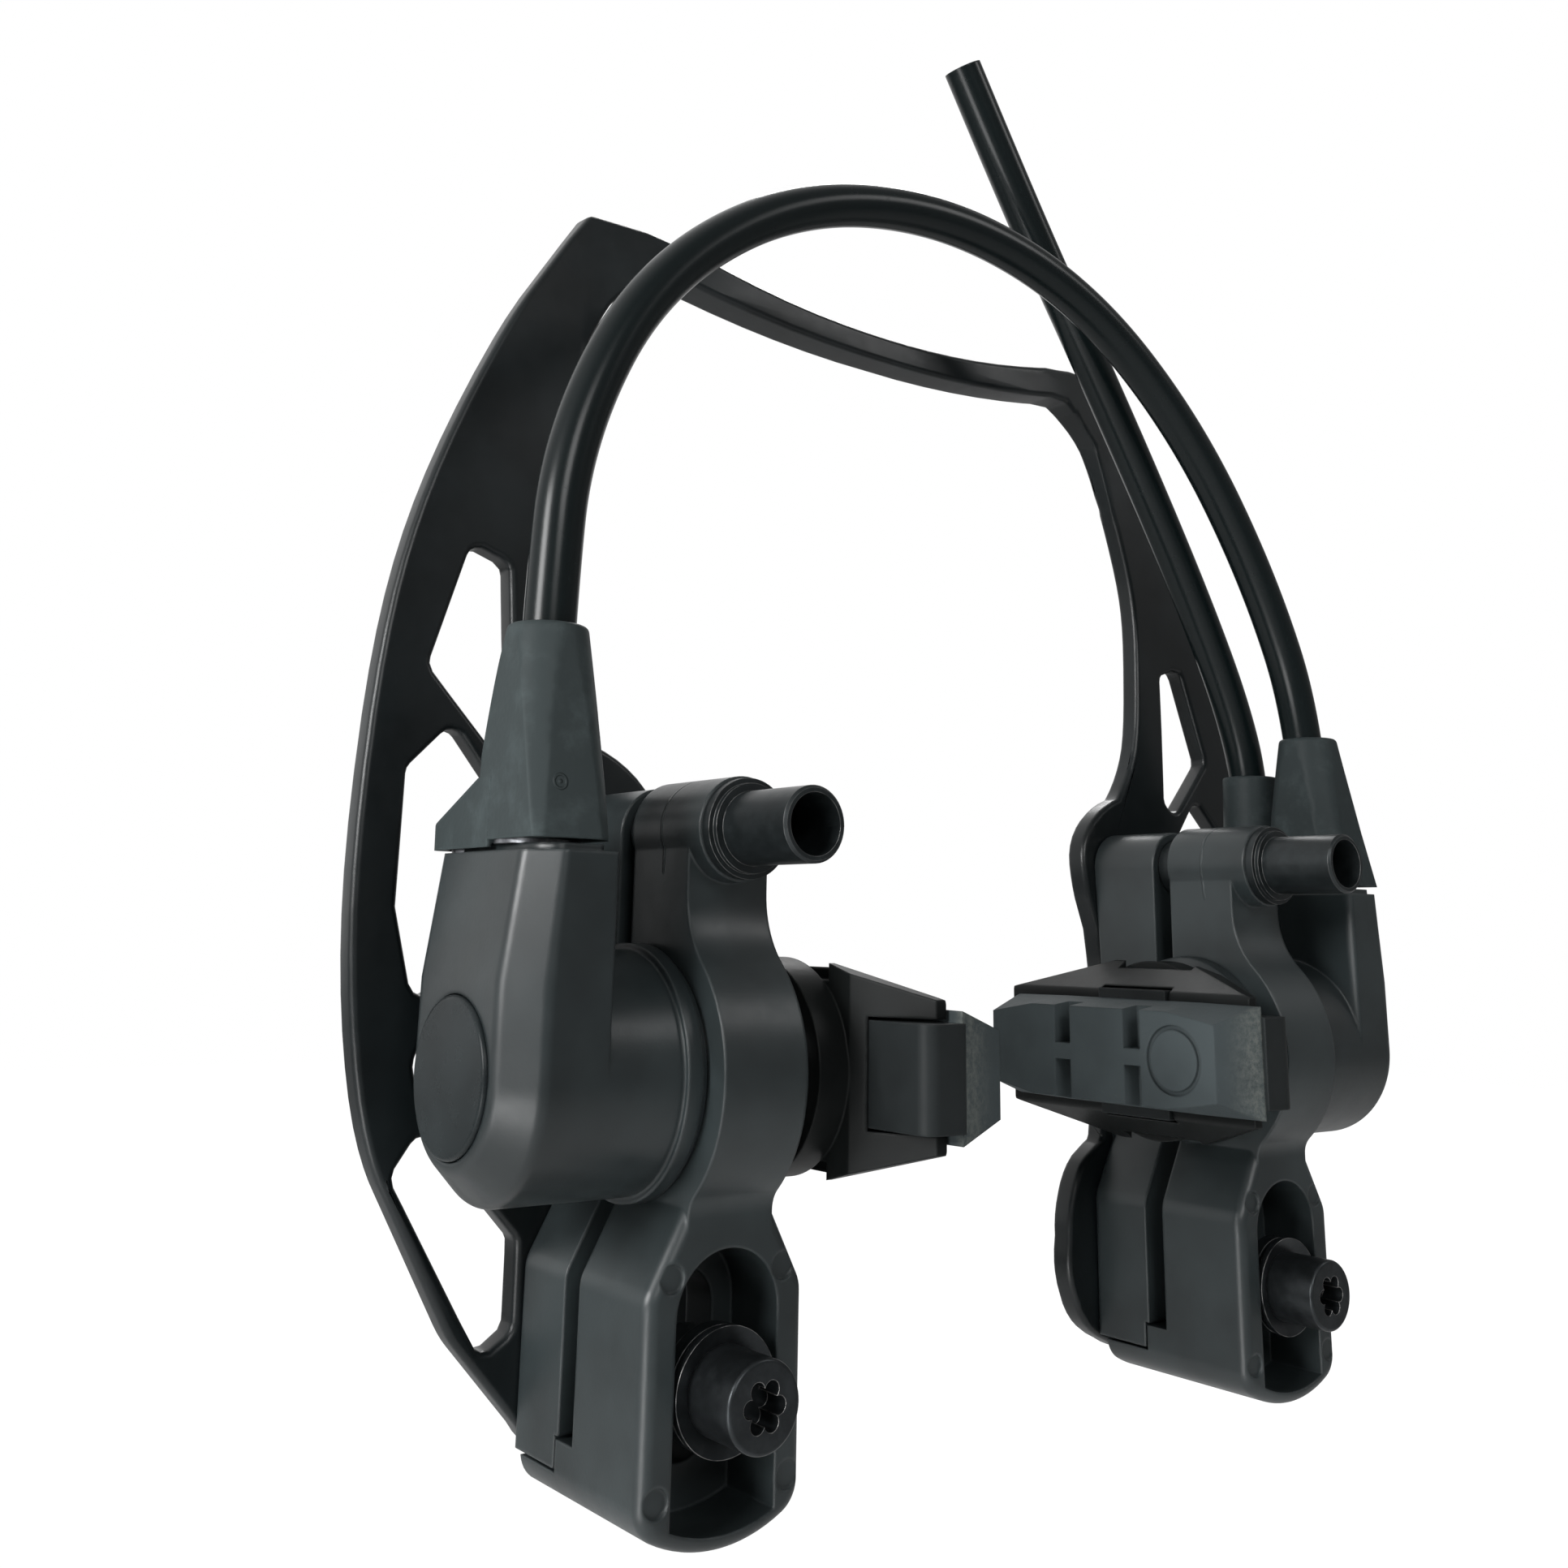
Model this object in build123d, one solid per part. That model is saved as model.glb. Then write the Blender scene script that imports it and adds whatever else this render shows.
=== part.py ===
"""Hydraulic rim brake for a bicycle: two slave cylinders in clamps, a booster arch and two hoses.

Frame: X runs across the wheel, -Y points at the viewer, Z is up. The origin lies midway between
the two brake bosses, in the plane where the booster's back meets them. All sizes are millimetres.
"""
import os
from math import cos, pi, radians, sin, tan

from build123d import *

# Brake bosses and mounting bolts
BOSS_SPACING = 80.0
BOLT_R = 3.0
BOLT_SHANK_R = 2.75
BOLT_REACH = 9.0
BOLT_THREAD_START = 0.6
BOLT_HEAD_R = 3.75
BOLT_HEAD_LENGTH = 6.0
BOLT_HEAD_EDGE_R = 0.35
BOLT_CHAMFER = 0.6
RECESS_R = 2.2
RECESS_LOBE_R = 0.75
RECESS_DEPTH = 2.6
WASHER_R = 5.26
WASHER_THICKNESS = 0.7
WASHER_DISH = 0.5
WASHER_SETBACK = 0.4
BUSH_FLANGE_THICKNESS = 1.5
BUSH_R = 4.2
SLOT_CLEARANCE = 0.2
BOLT_TRAVEL_UP = 5.5
BOLT_TRAVEL_DOWN = 4.0

# Clamp halves
CLAMP_WIDTH = 9.1
CLAMP_GAP = 2.6
CLAMP_FRONT_DEPTH = 11.3
CLAMP_REAR_DEPTH = 8.2
PARTING_GAP = 0.3
BLOCK_WIDTH = 16.8
BLOCK_BOTTOM = 12.3
BLOCK_SHOULDER_Z = 8.0
BLOCK_BOTTOM_SAG = 2.6
BLOCK_CORNER_R = 3.0
BLOCK_EDGE_R = 1.2
BLOCK_BACK_EDGE_R = 0.8
WAIST_Z = 15.0
POCKET_HALF_WIDTH = 5.42
POCKET_DEPTH = 7.1
POCKET_TOP = 11.5
POCKET_FLOOR_WALL = 1.3
BAND_WALL = 2.8
NECK_DEPTH = 9.4
NECK_FILLET_R = 9.0
WAIST_FILLET_R = 2.5
BOSS_R = 4.9
BOSS_Z = 47.85
BOSS_PROUD = 0.3
REAR_TOP_BACK = 1.3
TOE_THICKNESS = 3.9
TOE_LENGTH = 9.2
TOE_STEP_Z = -5.7
TOE_STEP_DEPTH = 2.9
MARK_R = 1.2
MARK_DEPTH = 0.3
MARK_WALL = 0.2
MARK_ANGLE = 30.0
MARK_ABOVE_FOOT = 4.8

# Clamp sleeves
SLEEVE_R = 3.44
SLEEVE_BORE_R = 2.8
SLEEVE_REACH = 11.3
SLEEVE_CHAMFER = 0.25
COLLAR_R = 4.67
COLLAR_THICKNESS = 1.1
COLLAR_STEP = 0.5

# Cylinders, measured along X from the middle of their clamp
CYLINDER_R = 10.8
CYLINDER_Y = -16.5
CYLINDER_Z = 25.9
CYLINDER_INNER_REACH = 7.0
CYLINDER_CHAMFER = 0.8
SHOULDER_R = 11.4
SHOULDER_WIDTH = 1.6
SHOULDER_GAP = 0.7
TOWER_START = 11.6
TOWER_END = 23.8
TOWER_TOP = 45.0
TOWER_CHAMFER = 3.2
TOWER_CHAMFER_R = 1.6
TOWER_INNER_R = 1.2
SEAT_HEIGHT = 0.6
SEAT_INSET = 1.0
BORE_R = 8.0
BORE_DEPTH = 16.0
PORT_X = 18.5
PORT_R = 3.2
PORT_DEPTH = 9.0
MAIN_PORT_Y = -19.4
REAR_PORT_Y = -9.8
DISC_R = 6.9
DISC_THICKNESS = 0.9
DISC_RECESS = 0.5
DISC_EDGE_R = 0.35

# Pistons, pad holders and pads, measured along X from the middle of their clamp towards the rim
PISTON_CLEARANCE = 0.05
PISTON_LENGTH = 12.5
PISTON_NOSE_R = 4.6
PISTON_NOSE_LENGTH = 2.2
SEAL_WIDTH = 2.0
SEAL_GROOVE_R = 6.4
SEAL_FROM_BACK = 3.0
HOLDER_GAP = 1.5
HOLDER_R = 10.3
HOLDER_HUB_THICKNESS = 3.5
HOLDER_DEPTH = 8.8
HOLDER_HALF_LENGTH = 18.0
HOLDER_TIP_Z = 6.8
HOLDER_TIP_R = 0.8
HOLDER_TIP_SWEEP = 1.2
HOLDER_FLAT_HALF = 5.5
CHANNEL_HALF_HEIGHT = 5.1
CHANNEL_FLOOR = 4.4
PRONG_SLOT_WIDTH = 1.3
PRONG_SLOT_DEPTH = 1.4
PRONG_SLOT_LENGTH = 11.0
CARRIER_HALF_HEIGHT = 4.8
CARRIER_HALF_LENGTH = 18.6
CARRIER_THICKNESS = 4.7
CARRIER_CORNER_R = 1.5
TAB_LENGTH = 10.0
TAB_HEIGHT = 2.3
TAB_THICKNESS = 2.6
TAB_CLEARANCE = 0.25
PAD_THICKNESS = 6.3
PAD_BASE_HALF_HEIGHT = 6.0
PAD_FACE_HALF_HEIGHT = 5.1
PAD_END_HALF_HEIGHT = 4.0
PAD_END_TAPER = 0.1
PAD_HALF_LENGTH = 18.2
PAD_FACE_HALF_LENGTH = 16.6
PAD_TAPER_LENGTH = 6.5
PAD_FORWARD = 1.6
PAD_GROOVE_WIDTH = 2.4
PAD_GROOVE_DEPTH = 2.6
PAD_GROOVE_OFFSET = 5.2
PAD_GROOVE_BRIDGE = 0.9
PAD_MARK_R = 3.7
PAD_MARK_WIDTH = 0.5
PAD_MARK_DEPTH = 0.4
PAD_MARK_OFFSET = 11.0

# Booster arch
BOOSTER_THICKNESS = 3.0
BOOSTER_LEAN = 5.0
BOOSTER_BEND_Z = 14.0
BOOSTER_BEND_R = 20.0
BOOSTER_TOP_Z = 120.0
BOOSTER_CORNER_R = 10.0
BOOSTER_WAIST_R = 6.0
WINDOW_R = 1.5
WINDOW_HOLE_R = 3.4

# Hoses, boots and fittings
HOSE_R = 2.5
FITTING_LENGTH = 5.0
BOOT_GAP = 1.0
BOOT_HEIGHT = 20.5
BOOT_INSET = 0.2
BOOT_BASE_R = 8.6
BOOT_TOP_R = 4.5
BOOT_TOP_EDGE_R = 0.6
BOOT_BACK = 5.2
BOOT_HOSE_CLEARANCE = 0.15
SUPPLY_BOOT_HEIGHT = 16.0
SUPPLY_BOOT_R = 4.1
SUPPLY_BOOT_TOP_R = 3.7
SUPPLY_COLLAR_R = 3.2
FITTING_COLLAR_R = 4.4
COLLAR_RISE = 0.8
NIPPLE_R = 2.3
LUG_GAP = 0.35
LUG_HEIGHT = 6.2
LUG_EDGE_HEIGHT = 2.0
LUG_CORNER_R = 1.2
BLEED_HEAD_R = 3.6
BLEED_HEAD_HEIGHT = 1.2
BLEED_KEY_R = 1.7
BLEED_KEY_DEPTH = 0.9

CLEARANCE = 0.1

# Places that follow from the sizes above
BOSS_X = BOSS_SPACING / 2
REAR_BACK_Y = -BOOSTER_THICKNESS
REAR_FRONT_Y = REAR_BACK_Y - CLAMP_REAR_DEPTH
FRONT_BACK_Y = REAR_FRONT_Y - CLAMP_GAP
FRONT_FACE_Y = FRONT_BACK_Y - CLAMP_FRONT_DEPTH
POCKET_FLOOR_Y = FRONT_FACE_Y + POCKET_DEPTH
BOSS_FACE_Y = FRONT_FACE_Y - BOSS_PROUD
TOE_TOP_Z = -BLOCK_BOTTOM + TOE_THICKNESS
TOE_STEP_Y = FRONT_BACK_Y + TOE_STEP_DEPTH
BAND_R = CYLINDER_R + BAND_WALL
SLOT_R = BOLT_R + SLOT_CLEARANCE
SLEEVE_HOLE_R = SLEEVE_R + PISTON_CLEARANCE
WASHER_FRONT_Y = FRONT_FACE_Y + WASHER_SETBACK
TOWER_FRONT_Y = CYLINDER_Y - CYLINDER_R
TOWER_BACK_Y = CYLINDER_Y + CYLINDER_R
HOLDER_BACK_X = -CYLINDER_INNER_REACH - HOLDER_GAP
HUB_FRONT_X = HOLDER_BACK_X - HOLDER_HUB_THICKNESS
HOLDER_TIP_X = HOLDER_BACK_X - HOLDER_DEPTH
CHANNEL_BACK_X = HOLDER_BACK_X - CHANNEL_FLOOR
CARRIER_BACK_X = CHANNEL_BACK_X - CLEARANCE
PAD_BASE_X = CARRIER_BACK_X - CARRIER_THICKNESS
PAD_FACE_X = PAD_BASE_X - PAD_THICKNESS
PAD_Y = CYLINDER_Y - PAD_FORWARD
PORT_FACE_Z = TOWER_TOP + SEAT_HEIGHT
HOSE_START_Z = TOWER_TOP + FITTING_LENGTH
BOOT_BASE_Z = TOWER_TOP + BOOT_GAP
BOOT_TOP_Z = TOWER_TOP + BOOT_HEIGHT
SUPPLY_BOOT_TOP_Z = TOWER_TOP + SUPPLY_BOOT_HEIGHT


def box_between(low, high):
    """Box from its lowest to its highest corner."""
    size = [high[i] - low[i] for i in range(3)]
    middle = [(high[i] + low[i]) / 2 for i in range(3)]
    return Pos(*middle) * Box(*size)


def rod_x(radius, x0, x1, y, z):
    """Cylinder along X between x0 and x1."""
    return Pos((x0 + x1) / 2, y, z) * Rot(0, 90, 0) * Cylinder(radius, abs(x1 - x0))


def rod_y(radius, y0, y1, x, z):
    """Cylinder along Y between y0 and y1."""
    return Pos(x, (y0 + y1) / 2, z) * Rot(90, 0, 0) * Cylinder(radius, abs(y1 - y0))


def rod_z(radius, z0, z1, x, y):
    """Cylinder along Z between z0 and z1."""
    return Pos(x, y, (z0 + z1) / 2) * Cylinder(radius, abs(z1 - z0))


def front_prism(sketch, y0, y1):
    """Front-view sketch, in x and z, pushed from y0 back to y1."""
    return extrude(Plane.XZ.offset(-y1) * sketch, amount=y1 - y0)


def side_prism(sketch, x0, x1):
    """Side-view sketch, in y and z, pushed from x0 to x1."""
    return extrude(Plane.YZ.offset(x0) * sketch, amount=x1 - x0)


def upright_prism(sketch, z0, z1):
    """Plan-view sketch, in x and y, pushed from z0 up to z1."""
    return extrude(Plane.XY.offset(z0) * sketch, amount=z1 - z0)


def closed(*points):
    """Flat face bounded by straight lines through the points."""
    return make_face(Polyline(*points, close=True))


def rounded(sketch, radius, chosen=None):
    """Sketch with its corners rounded, all of them or the chosen ones."""
    corners = sketch.vertices() if chosen is None else sketch.vertices().filter_by(chosen)
    return fillet(corners, radius)


def near(x, y):
    """Test for the corner of a sketch that lies at a point."""
    return lambda corner: abs(corner.X - x) < CLEARANCE and abs(corner.Y - y) < CLEARANCE


def upright_slot(radius, bottom, top):
    """Vertical slot in front view with round ends, between its lowest and highest points."""
    return Pos(0, (bottom + top) / 2) * Rot(0, 0, 90) * SlotOverall(top - bottom, 2 * radius)


def mirrored(shape):
    """The same shape on the other side of the wheel."""
    return mirror(shape, about=Plane.YZ)


def block_outline(bottom):
    """Front view of the clamp's lower block: waist, shoulders, straight sides and a curved foot."""
    half = BLOCK_WIDTH / 2
    neck = CLAMP_WIDTH / 2
    side_end = bottom + BLOCK_BOTTOM_SAG
    edges = [
        Line((-neck, WAIST_Z), (-half, BLOCK_SHOULDER_Z)),
        Line((-half, BLOCK_SHOULDER_Z), (-half, side_end)),
        ThreePointArc((-half, side_end), (0, bottom), (half, side_end)),
        Line((half, side_end), (half, BLOCK_SHOULDER_Z)),
        Line((half, BLOCK_SHOULDER_Z), (neck, WAIST_Z)),
        Line((neck, WAIST_Z), (-neck, WAIST_Z)),
    ]
    return rounded(make_face(edges), BLOCK_CORNER_R, lambda v: v.Y < WAIST_Z - CLEARANCE)


def pocket_outline():
    """Front view of the bolt pocket: round top, straight sides and a foot that follows the block's."""
    arch_z = POCKET_TOP - POCKET_HALF_WIDTH
    column = Rectangle(2 * POCKET_HALF_WIDTH, arch_z + BLOCK_BOTTOM)
    column = Pos(0, (arch_z - BLOCK_BOTTOM) / 2) * column
    outline = column + Pos(0, arch_z) * Circle(POCKET_HALF_WIDTH)
    inside = offset(block_outline(-BLOCK_BOTTOM), -POCKET_FLOOR_WALL)
    return outline & inside


def bolt_slot():
    """Front view of the slot that the bolt's shank slides in."""
    return upright_slot(SLOT_R, -BOLT_TRAVEL_DOWN - SLOT_R, BOLT_TRAVEL_UP + SLOT_R)


def moulding_marks():
    """Centres of the four round moulding marks on the block's face, in front view."""
    reach = POCKET_HALF_WIDTH + MARK_WALL + MARK_R
    angle = radians(MARK_ANGLE)
    upper_z = POCKET_TOP - POCKET_HALF_WIDTH + reach * sin(angle)
    lower_z = -BLOCK_BOTTOM + MARK_ABOVE_FOOT
    return [(s * x, z) for s in (-1, 1) for x, z in ((reach * cos(angle), upper_z), (reach, lower_z))]


def front_clamp():
    """Front half: pocketed block, band round the cylinder, neck and boss, and the toe at the foot."""
    neck_face_y = FRONT_BACK_Y - NECK_DEPTH
    front_y = CYLINDER_Y - BAND_R
    band_top = CYLINDER_Z + BAND_R
    circle = Pos(CYLINDER_Y, CYLINDER_Z) * Circle(BAND_R)
    neck = closed(
        (FRONT_BACK_Y, CYLINDER_Z), (neck_face_y, CYLINDER_Z), (neck_face_y, BOSS_Z), (FRONT_BACK_Y, BOSS_Z)
    )
    root = closed(
        (FRONT_BACK_Y, 0), (FRONT_FACE_Y, 0), (FRONT_FACE_Y, CYLINDER_Z), (FRONT_BACK_Y, CYLINDER_Z)
    )
    side = circle + neck + root
    side = side & closed((FRONT_BACK_Y, 0), (front_y, 0), (front_y, BOSS_Z), (FRONT_BACK_Y, BOSS_Z))
    neck_corner = side.vertices().sort_by_distance((neck_face_y, band_top, 0))[0]
    side = fillet(neck_corner, NECK_FILLET_R)
    waist_corner = side.vertices().sort_by_distance((FRONT_FACE_Y, WAIST_Z, 0))[0]
    side = fillet(waist_corner, WAIST_FILLET_R)
    band = side_prism(side, -CLAMP_WIDTH / 2, CLAMP_WIDTH / 2)
    block = front_prism(block_outline(-BLOCK_BOTTOM), FRONT_FACE_Y, FRONT_BACK_Y)
    block = fillet(block.faces().sort_by(Axis.Y)[0].edges(), BLOCK_EDGE_R)
    boss = rod_y(BOSS_R, BOSS_FACE_Y, FRONT_BACK_Y, 0, BOSS_Z)
    body = block + band + boss
    body -= rod_x(CYLINDER_R, -BLOCK_WIDTH, BLOCK_WIDTH, CYLINDER_Y, CYLINDER_Z)
    body += toe()
    body -= front_prism(pocket_outline(), FRONT_FACE_Y - 1, POCKET_FLOOR_Y)
    body -= front_prism(bolt_slot(), FRONT_FACE_Y, REAR_BACK_Y)
    body -= rod_y(SLEEVE_HOLE_R, BOSS_FACE_Y - 1, FRONT_BACK_Y + 1, 0, BOSS_Z)
    for x, z in moulding_marks():
        body -= rod_y(MARK_R, FRONT_FACE_Y - 1, FRONT_FACE_Y + MARK_DEPTH, x, z)
    return body


def toe():
    """Ledge at the front half's foot that reaches back under the rear half."""
    start = FRONT_BACK_Y - 1
    foot = front_prism(block_outline(-BLOCK_BOTTOM), start, FRONT_BACK_Y + TOE_LENGTH)
    low = (-BLOCK_WIDTH, start, -BLOCK_BOTTOM - 1)
    ledge = foot & box_between(low, (BLOCK_WIDTH, 0, TOE_TOP_Z))
    step = foot & box_between(low, (BLOCK_WIDTH, TOE_STEP_Y, TOE_STEP_Z))
    return ledge + step


def rear_clamp():
    """Rear half: block behind the pocket, saddle behind the cylinder and a round top."""
    half = CLAMP_WIDTH / 2
    foot_z = TOE_TOP_Z + PARTING_GAP
    block = front_prism(block_outline(-BLOCK_BOTTOM), REAR_FRONT_Y, REAR_BACK_Y)
    block = fillet(block.faces().sort_by(Axis.Y)[-1].edges(), BLOCK_BACK_EDGE_R)
    block = block & box_between((-BLOCK_WIDTH, REAR_FRONT_Y, foot_z), (BLOCK_WIDTH, REAR_BACK_Y, WAIST_Z))
    block -= box_between(
        (-BLOCK_WIDTH, REAR_FRONT_Y - 1, foot_z - 1),
        (BLOCK_WIDTH, TOE_STEP_Y + PARTING_GAP, TOE_STEP_Z + PARTING_GAP),
    )
    side = closed(
        (REAR_FRONT_Y, 0), (REAR_BACK_Y, 0), (REAR_BACK_Y, BOOSTER_BEND_Z),
        (-REAR_TOP_BACK, BOSS_Z), (REAR_FRONT_Y, BOSS_Z),
    )
    body = block + side_prism(side, -half, half) + rod_y(half, REAR_FRONT_Y, -REAR_TOP_BACK, 0, BOSS_Z)
    body -= rod_x(CYLINDER_R, -BLOCK_WIDTH, BLOCK_WIDTH, CYLINDER_Y, CYLINDER_Z)
    body -= front_prism(bolt_slot(), REAR_FRONT_Y - 1, REAR_BACK_Y + 1)
    body -= rod_y(SLEEVE_HOLE_R, REAR_FRONT_Y - 1, 0, 0, BOSS_Z)
    return body


def clamp_sleeve():
    """Hollow tube through both halves, with a stepped collar seated on the front boss."""
    tip = FRONT_FACE_Y - SLEEVE_REACH
    collar_front = BOSS_FACE_Y - COLLAR_THICKNESS
    tube = rod_y(SLEEVE_R, tip, -REAR_TOP_BACK, 0, BOSS_Z)
    tube = chamfer(tube.edges().sort_by(Axis.Y)[0], SLEEVE_CHAMFER)
    collar = rod_y(COLLAR_R, collar_front, BOSS_FACE_Y, 0, BOSS_Z)
    ring = rod_y(COLLAR_R - COLLAR_STEP, collar_front - COLLAR_STEP, collar_front, 0, BOSS_Z)
    return tube + collar + ring - rod_y(SLEEVE_BORE_R, tip - 1, 0, 0, BOSS_Z)


def mounting_bolt():
    """Cap screw with a six-lobe recess, a reduced shank in the slot and a thread behind it."""
    head_front = WASHER_FRONT_Y - BOLT_HEAD_LENGTH
    head = rod_y(BOLT_HEAD_R, head_front, WASHER_FRONT_Y, 0, 0)
    head = fillet(head.edges().sort_by(Axis.Y)[0], BOLT_HEAD_EDGE_R)
    shank = rod_y(BOLT_SHANK_R, WASHER_FRONT_Y, BOLT_THREAD_START, 0, 0)
    thread = rod_y(BOLT_R, BOLT_THREAD_START, BOLT_REACH, 0, 0)
    thread = chamfer(thread.edges().sort_by(Axis.Y)[-1], BOLT_CHAMFER)
    lobe_ring = RECESS_R - RECESS_LOBE_R
    recess = Circle(lobe_ring) + PolarLocations(lobe_ring, 6) * Circle(RECESS_LOBE_R)
    return head + shank + thread - front_prism(recess, head_front - 1, head_front + RECESS_DEPTH)


def dished_washer():
    """Thin washer whose rim is drawn forward from the bolt's seat."""
    inner = BOLT_R + CLEARANCE
    seat_back = WASHER_FRONT_Y + WASHER_THICKNESS
    profile = closed(
        (inner, WASHER_FRONT_Y), (BOLT_HEAD_R, WASHER_FRONT_Y), (WASHER_R, WASHER_FRONT_Y - WASHER_DISH),
        (WASHER_R, seat_back - WASHER_DISH), (BOLT_HEAD_R, seat_back), (inner, seat_back),
    )
    return revolve(profile, Axis.Y)


def spacer_bush():
    """Flanged bush between the washer and the pocket's floor."""
    front = WASHER_FRONT_Y + WASHER_THICKNESS
    flange = rod_y(WASHER_R - CLEARANCE, front, front + BUSH_FLANGE_THICKNESS, 0, 0)
    sleeve = rod_y(BUSH_R, front, POCKET_FLOOR_Y, 0, 0)
    return flange + sleeve - rod_y(BOLT_R + CLEARANCE, front - 1, 0, 0, 0)


def cylinder_housing():
    """Elbow housing, for the right: barrel through the clamp, shoulder ring and upright tower."""
    barrel = rod_x(CYLINDER_R, -CYLINDER_INNER_REACH, TOWER_START + 1, CYLINDER_Y, CYLINDER_Z)
    barrel = chamfer(barrel.edges().sort_by(Axis.X)[0], CYLINDER_CHAMFER)
    ring_start = CLAMP_WIDTH / 2 + SHOULDER_GAP
    ring = rod_x(SHOULDER_R, ring_start, ring_start + SHOULDER_WIDTH, CYLINDER_Y, CYLINDER_Z)
    body = barrel + ring + cylinder_tower()
    body -= rod_x(BORE_R, -CYLINDER_INNER_REACH - 1, BORE_DEPTH - CYLINDER_INNER_REACH, CYLINDER_Y, CYLINDER_Z)
    for y in (MAIN_PORT_Y, REAR_PORT_Y):
        body -= rod_z(PORT_R, TOWER_TOP - PORT_DEPTH, PORT_FACE_Z + 1, PORT_X, y)
    body -= rod_x(DISC_R, TOWER_END - DISC_RECESS, TOWER_END + 1, CYLINDER_Y, CYLINDER_Z)
    return body


def tower_plan(back_y):
    """Tower seen from above, from the front face to back_y, with its outer corners cut and rounded."""
    cut = TOWER_END - TOWER_CHAMFER
    plan = closed(
        (TOWER_START, TOWER_FRONT_Y), (cut, TOWER_FRONT_Y), (TOWER_END, TOWER_FRONT_Y + TOWER_CHAMFER),
        (TOWER_END, back_y - TOWER_CHAMFER), (cut, back_y), (TOWER_START, back_y),
    )
    return rounded(plan, TOWER_CHAMFER_R, lambda v: v.X > TOWER_START + 1)


def cylinder_tower():
    """Upright tower that runs down into a drum of the same section, with a raised seat on top."""
    axis = Axis((0, CYLINDER_Y, CYLINDER_Z), (1, 0, 0))
    full = tower_plan(TOWER_BACK_Y)
    half = full & closed(
        (TOWER_START, TOWER_FRONT_Y), (TOWER_END, TOWER_FRONT_Y),
        (TOWER_END, CYLINDER_Y), (TOWER_START, CYLINDER_Y),
    )
    drum = revolve(Plane.XY.offset(CYLINDER_Z) * half, axis)
    full = rounded(full, TOWER_INNER_R, lambda v: v.X < TOWER_START + CLEARANCE)
    column = upright_prism(full, CYLINDER_Z, TOWER_TOP)
    return drum + column + port_seat(SEAT_INSET, PORT_FACE_Z)


def port_seat(inset, top):
    """Raised seat round the ports, set in from the tower's outline, up to a height."""
    middle_x = (TOWER_START + TOWER_END) / 2
    width = TOWER_END - TOWER_START - 2 * inset
    depth = TOWER_BACK_Y - TOWER_FRONT_Y - 2 * inset
    plan = Pos(middle_x, CYLINDER_Y) * RectangleRounded(width, depth, TOWER_CHAMFER)
    return upright_prism(plan, TOWER_TOP, top)


def end_disc():
    """Plain domed disc let into the housing's outer end."""
    start = TOWER_END - DISC_RECESS
    disc = rod_x(DISC_R - CLEARANCE, start, start + DISC_THICKNESS, CYLINDER_Y, CYLINDER_Z)
    return fillet(disc.edges().sort_by(Axis.X)[-1], DISC_EDGE_R)


def piston():
    """Piston in the bore, with a groove for its seal and a nose for the pad holder."""
    radius = BORE_R - PISTON_CLEARANCE
    back = HOLDER_BACK_X + PISTON_LENGTH
    body = rod_x(radius, HOLDER_BACK_X, back, CYLINDER_Y, CYLINDER_Z)
    body += rod_x(PISTON_NOSE_R, HOLDER_BACK_X - PISTON_NOSE_LENGTH, HOLDER_BACK_X, CYLINDER_Y, CYLINDER_Z)
    seal_start, seal_end = seal_span()
    groove = rod_x(radius + 1, seal_start, seal_end, CYLINDER_Y, CYLINDER_Z)
    groove -= rod_x(SEAL_GROOVE_R, seal_start, seal_end, CYLINDER_Y, CYLINDER_Z)
    return body - groove


def seal_span():
    """Where the seal's groove starts and ends along the piston."""
    end = HOLDER_BACK_X + PISTON_LENGTH - SEAL_FROM_BACK
    return end - SEAL_WIDTH, end


def piston_seal():
    """Square-section sealing ring in the piston's groove."""
    start, end = seal_span()
    ring = rod_x(BORE_R - PISTON_CLEARANCE, start, end, CYLINDER_Y, CYLINDER_Z)
    return ring - rod_x(SEAL_GROOVE_R, start - 1, end + 1, CYLINDER_Y, CYLINDER_Z)


def tab_box(low_x, high_x, grow):
    """Space of one clip tab of the pad's carrier above the channel, grown on its ends and top."""
    half = TAB_LENGTH / 2 + grow
    top = CARRIER_HALF_HEIGHT + TAB_HEIGHT + grow
    return box_between((low_x, PAD_Y - half, 0), (high_x, PAD_Y + half, top))


def both_sides(shape):
    """A shape above the cylinder's axis and its mirror below, both raised to the axis."""
    return Pos(0, 0, CYLINDER_Z) * (shape + mirror(shape, about=Plane.XY))


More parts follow.
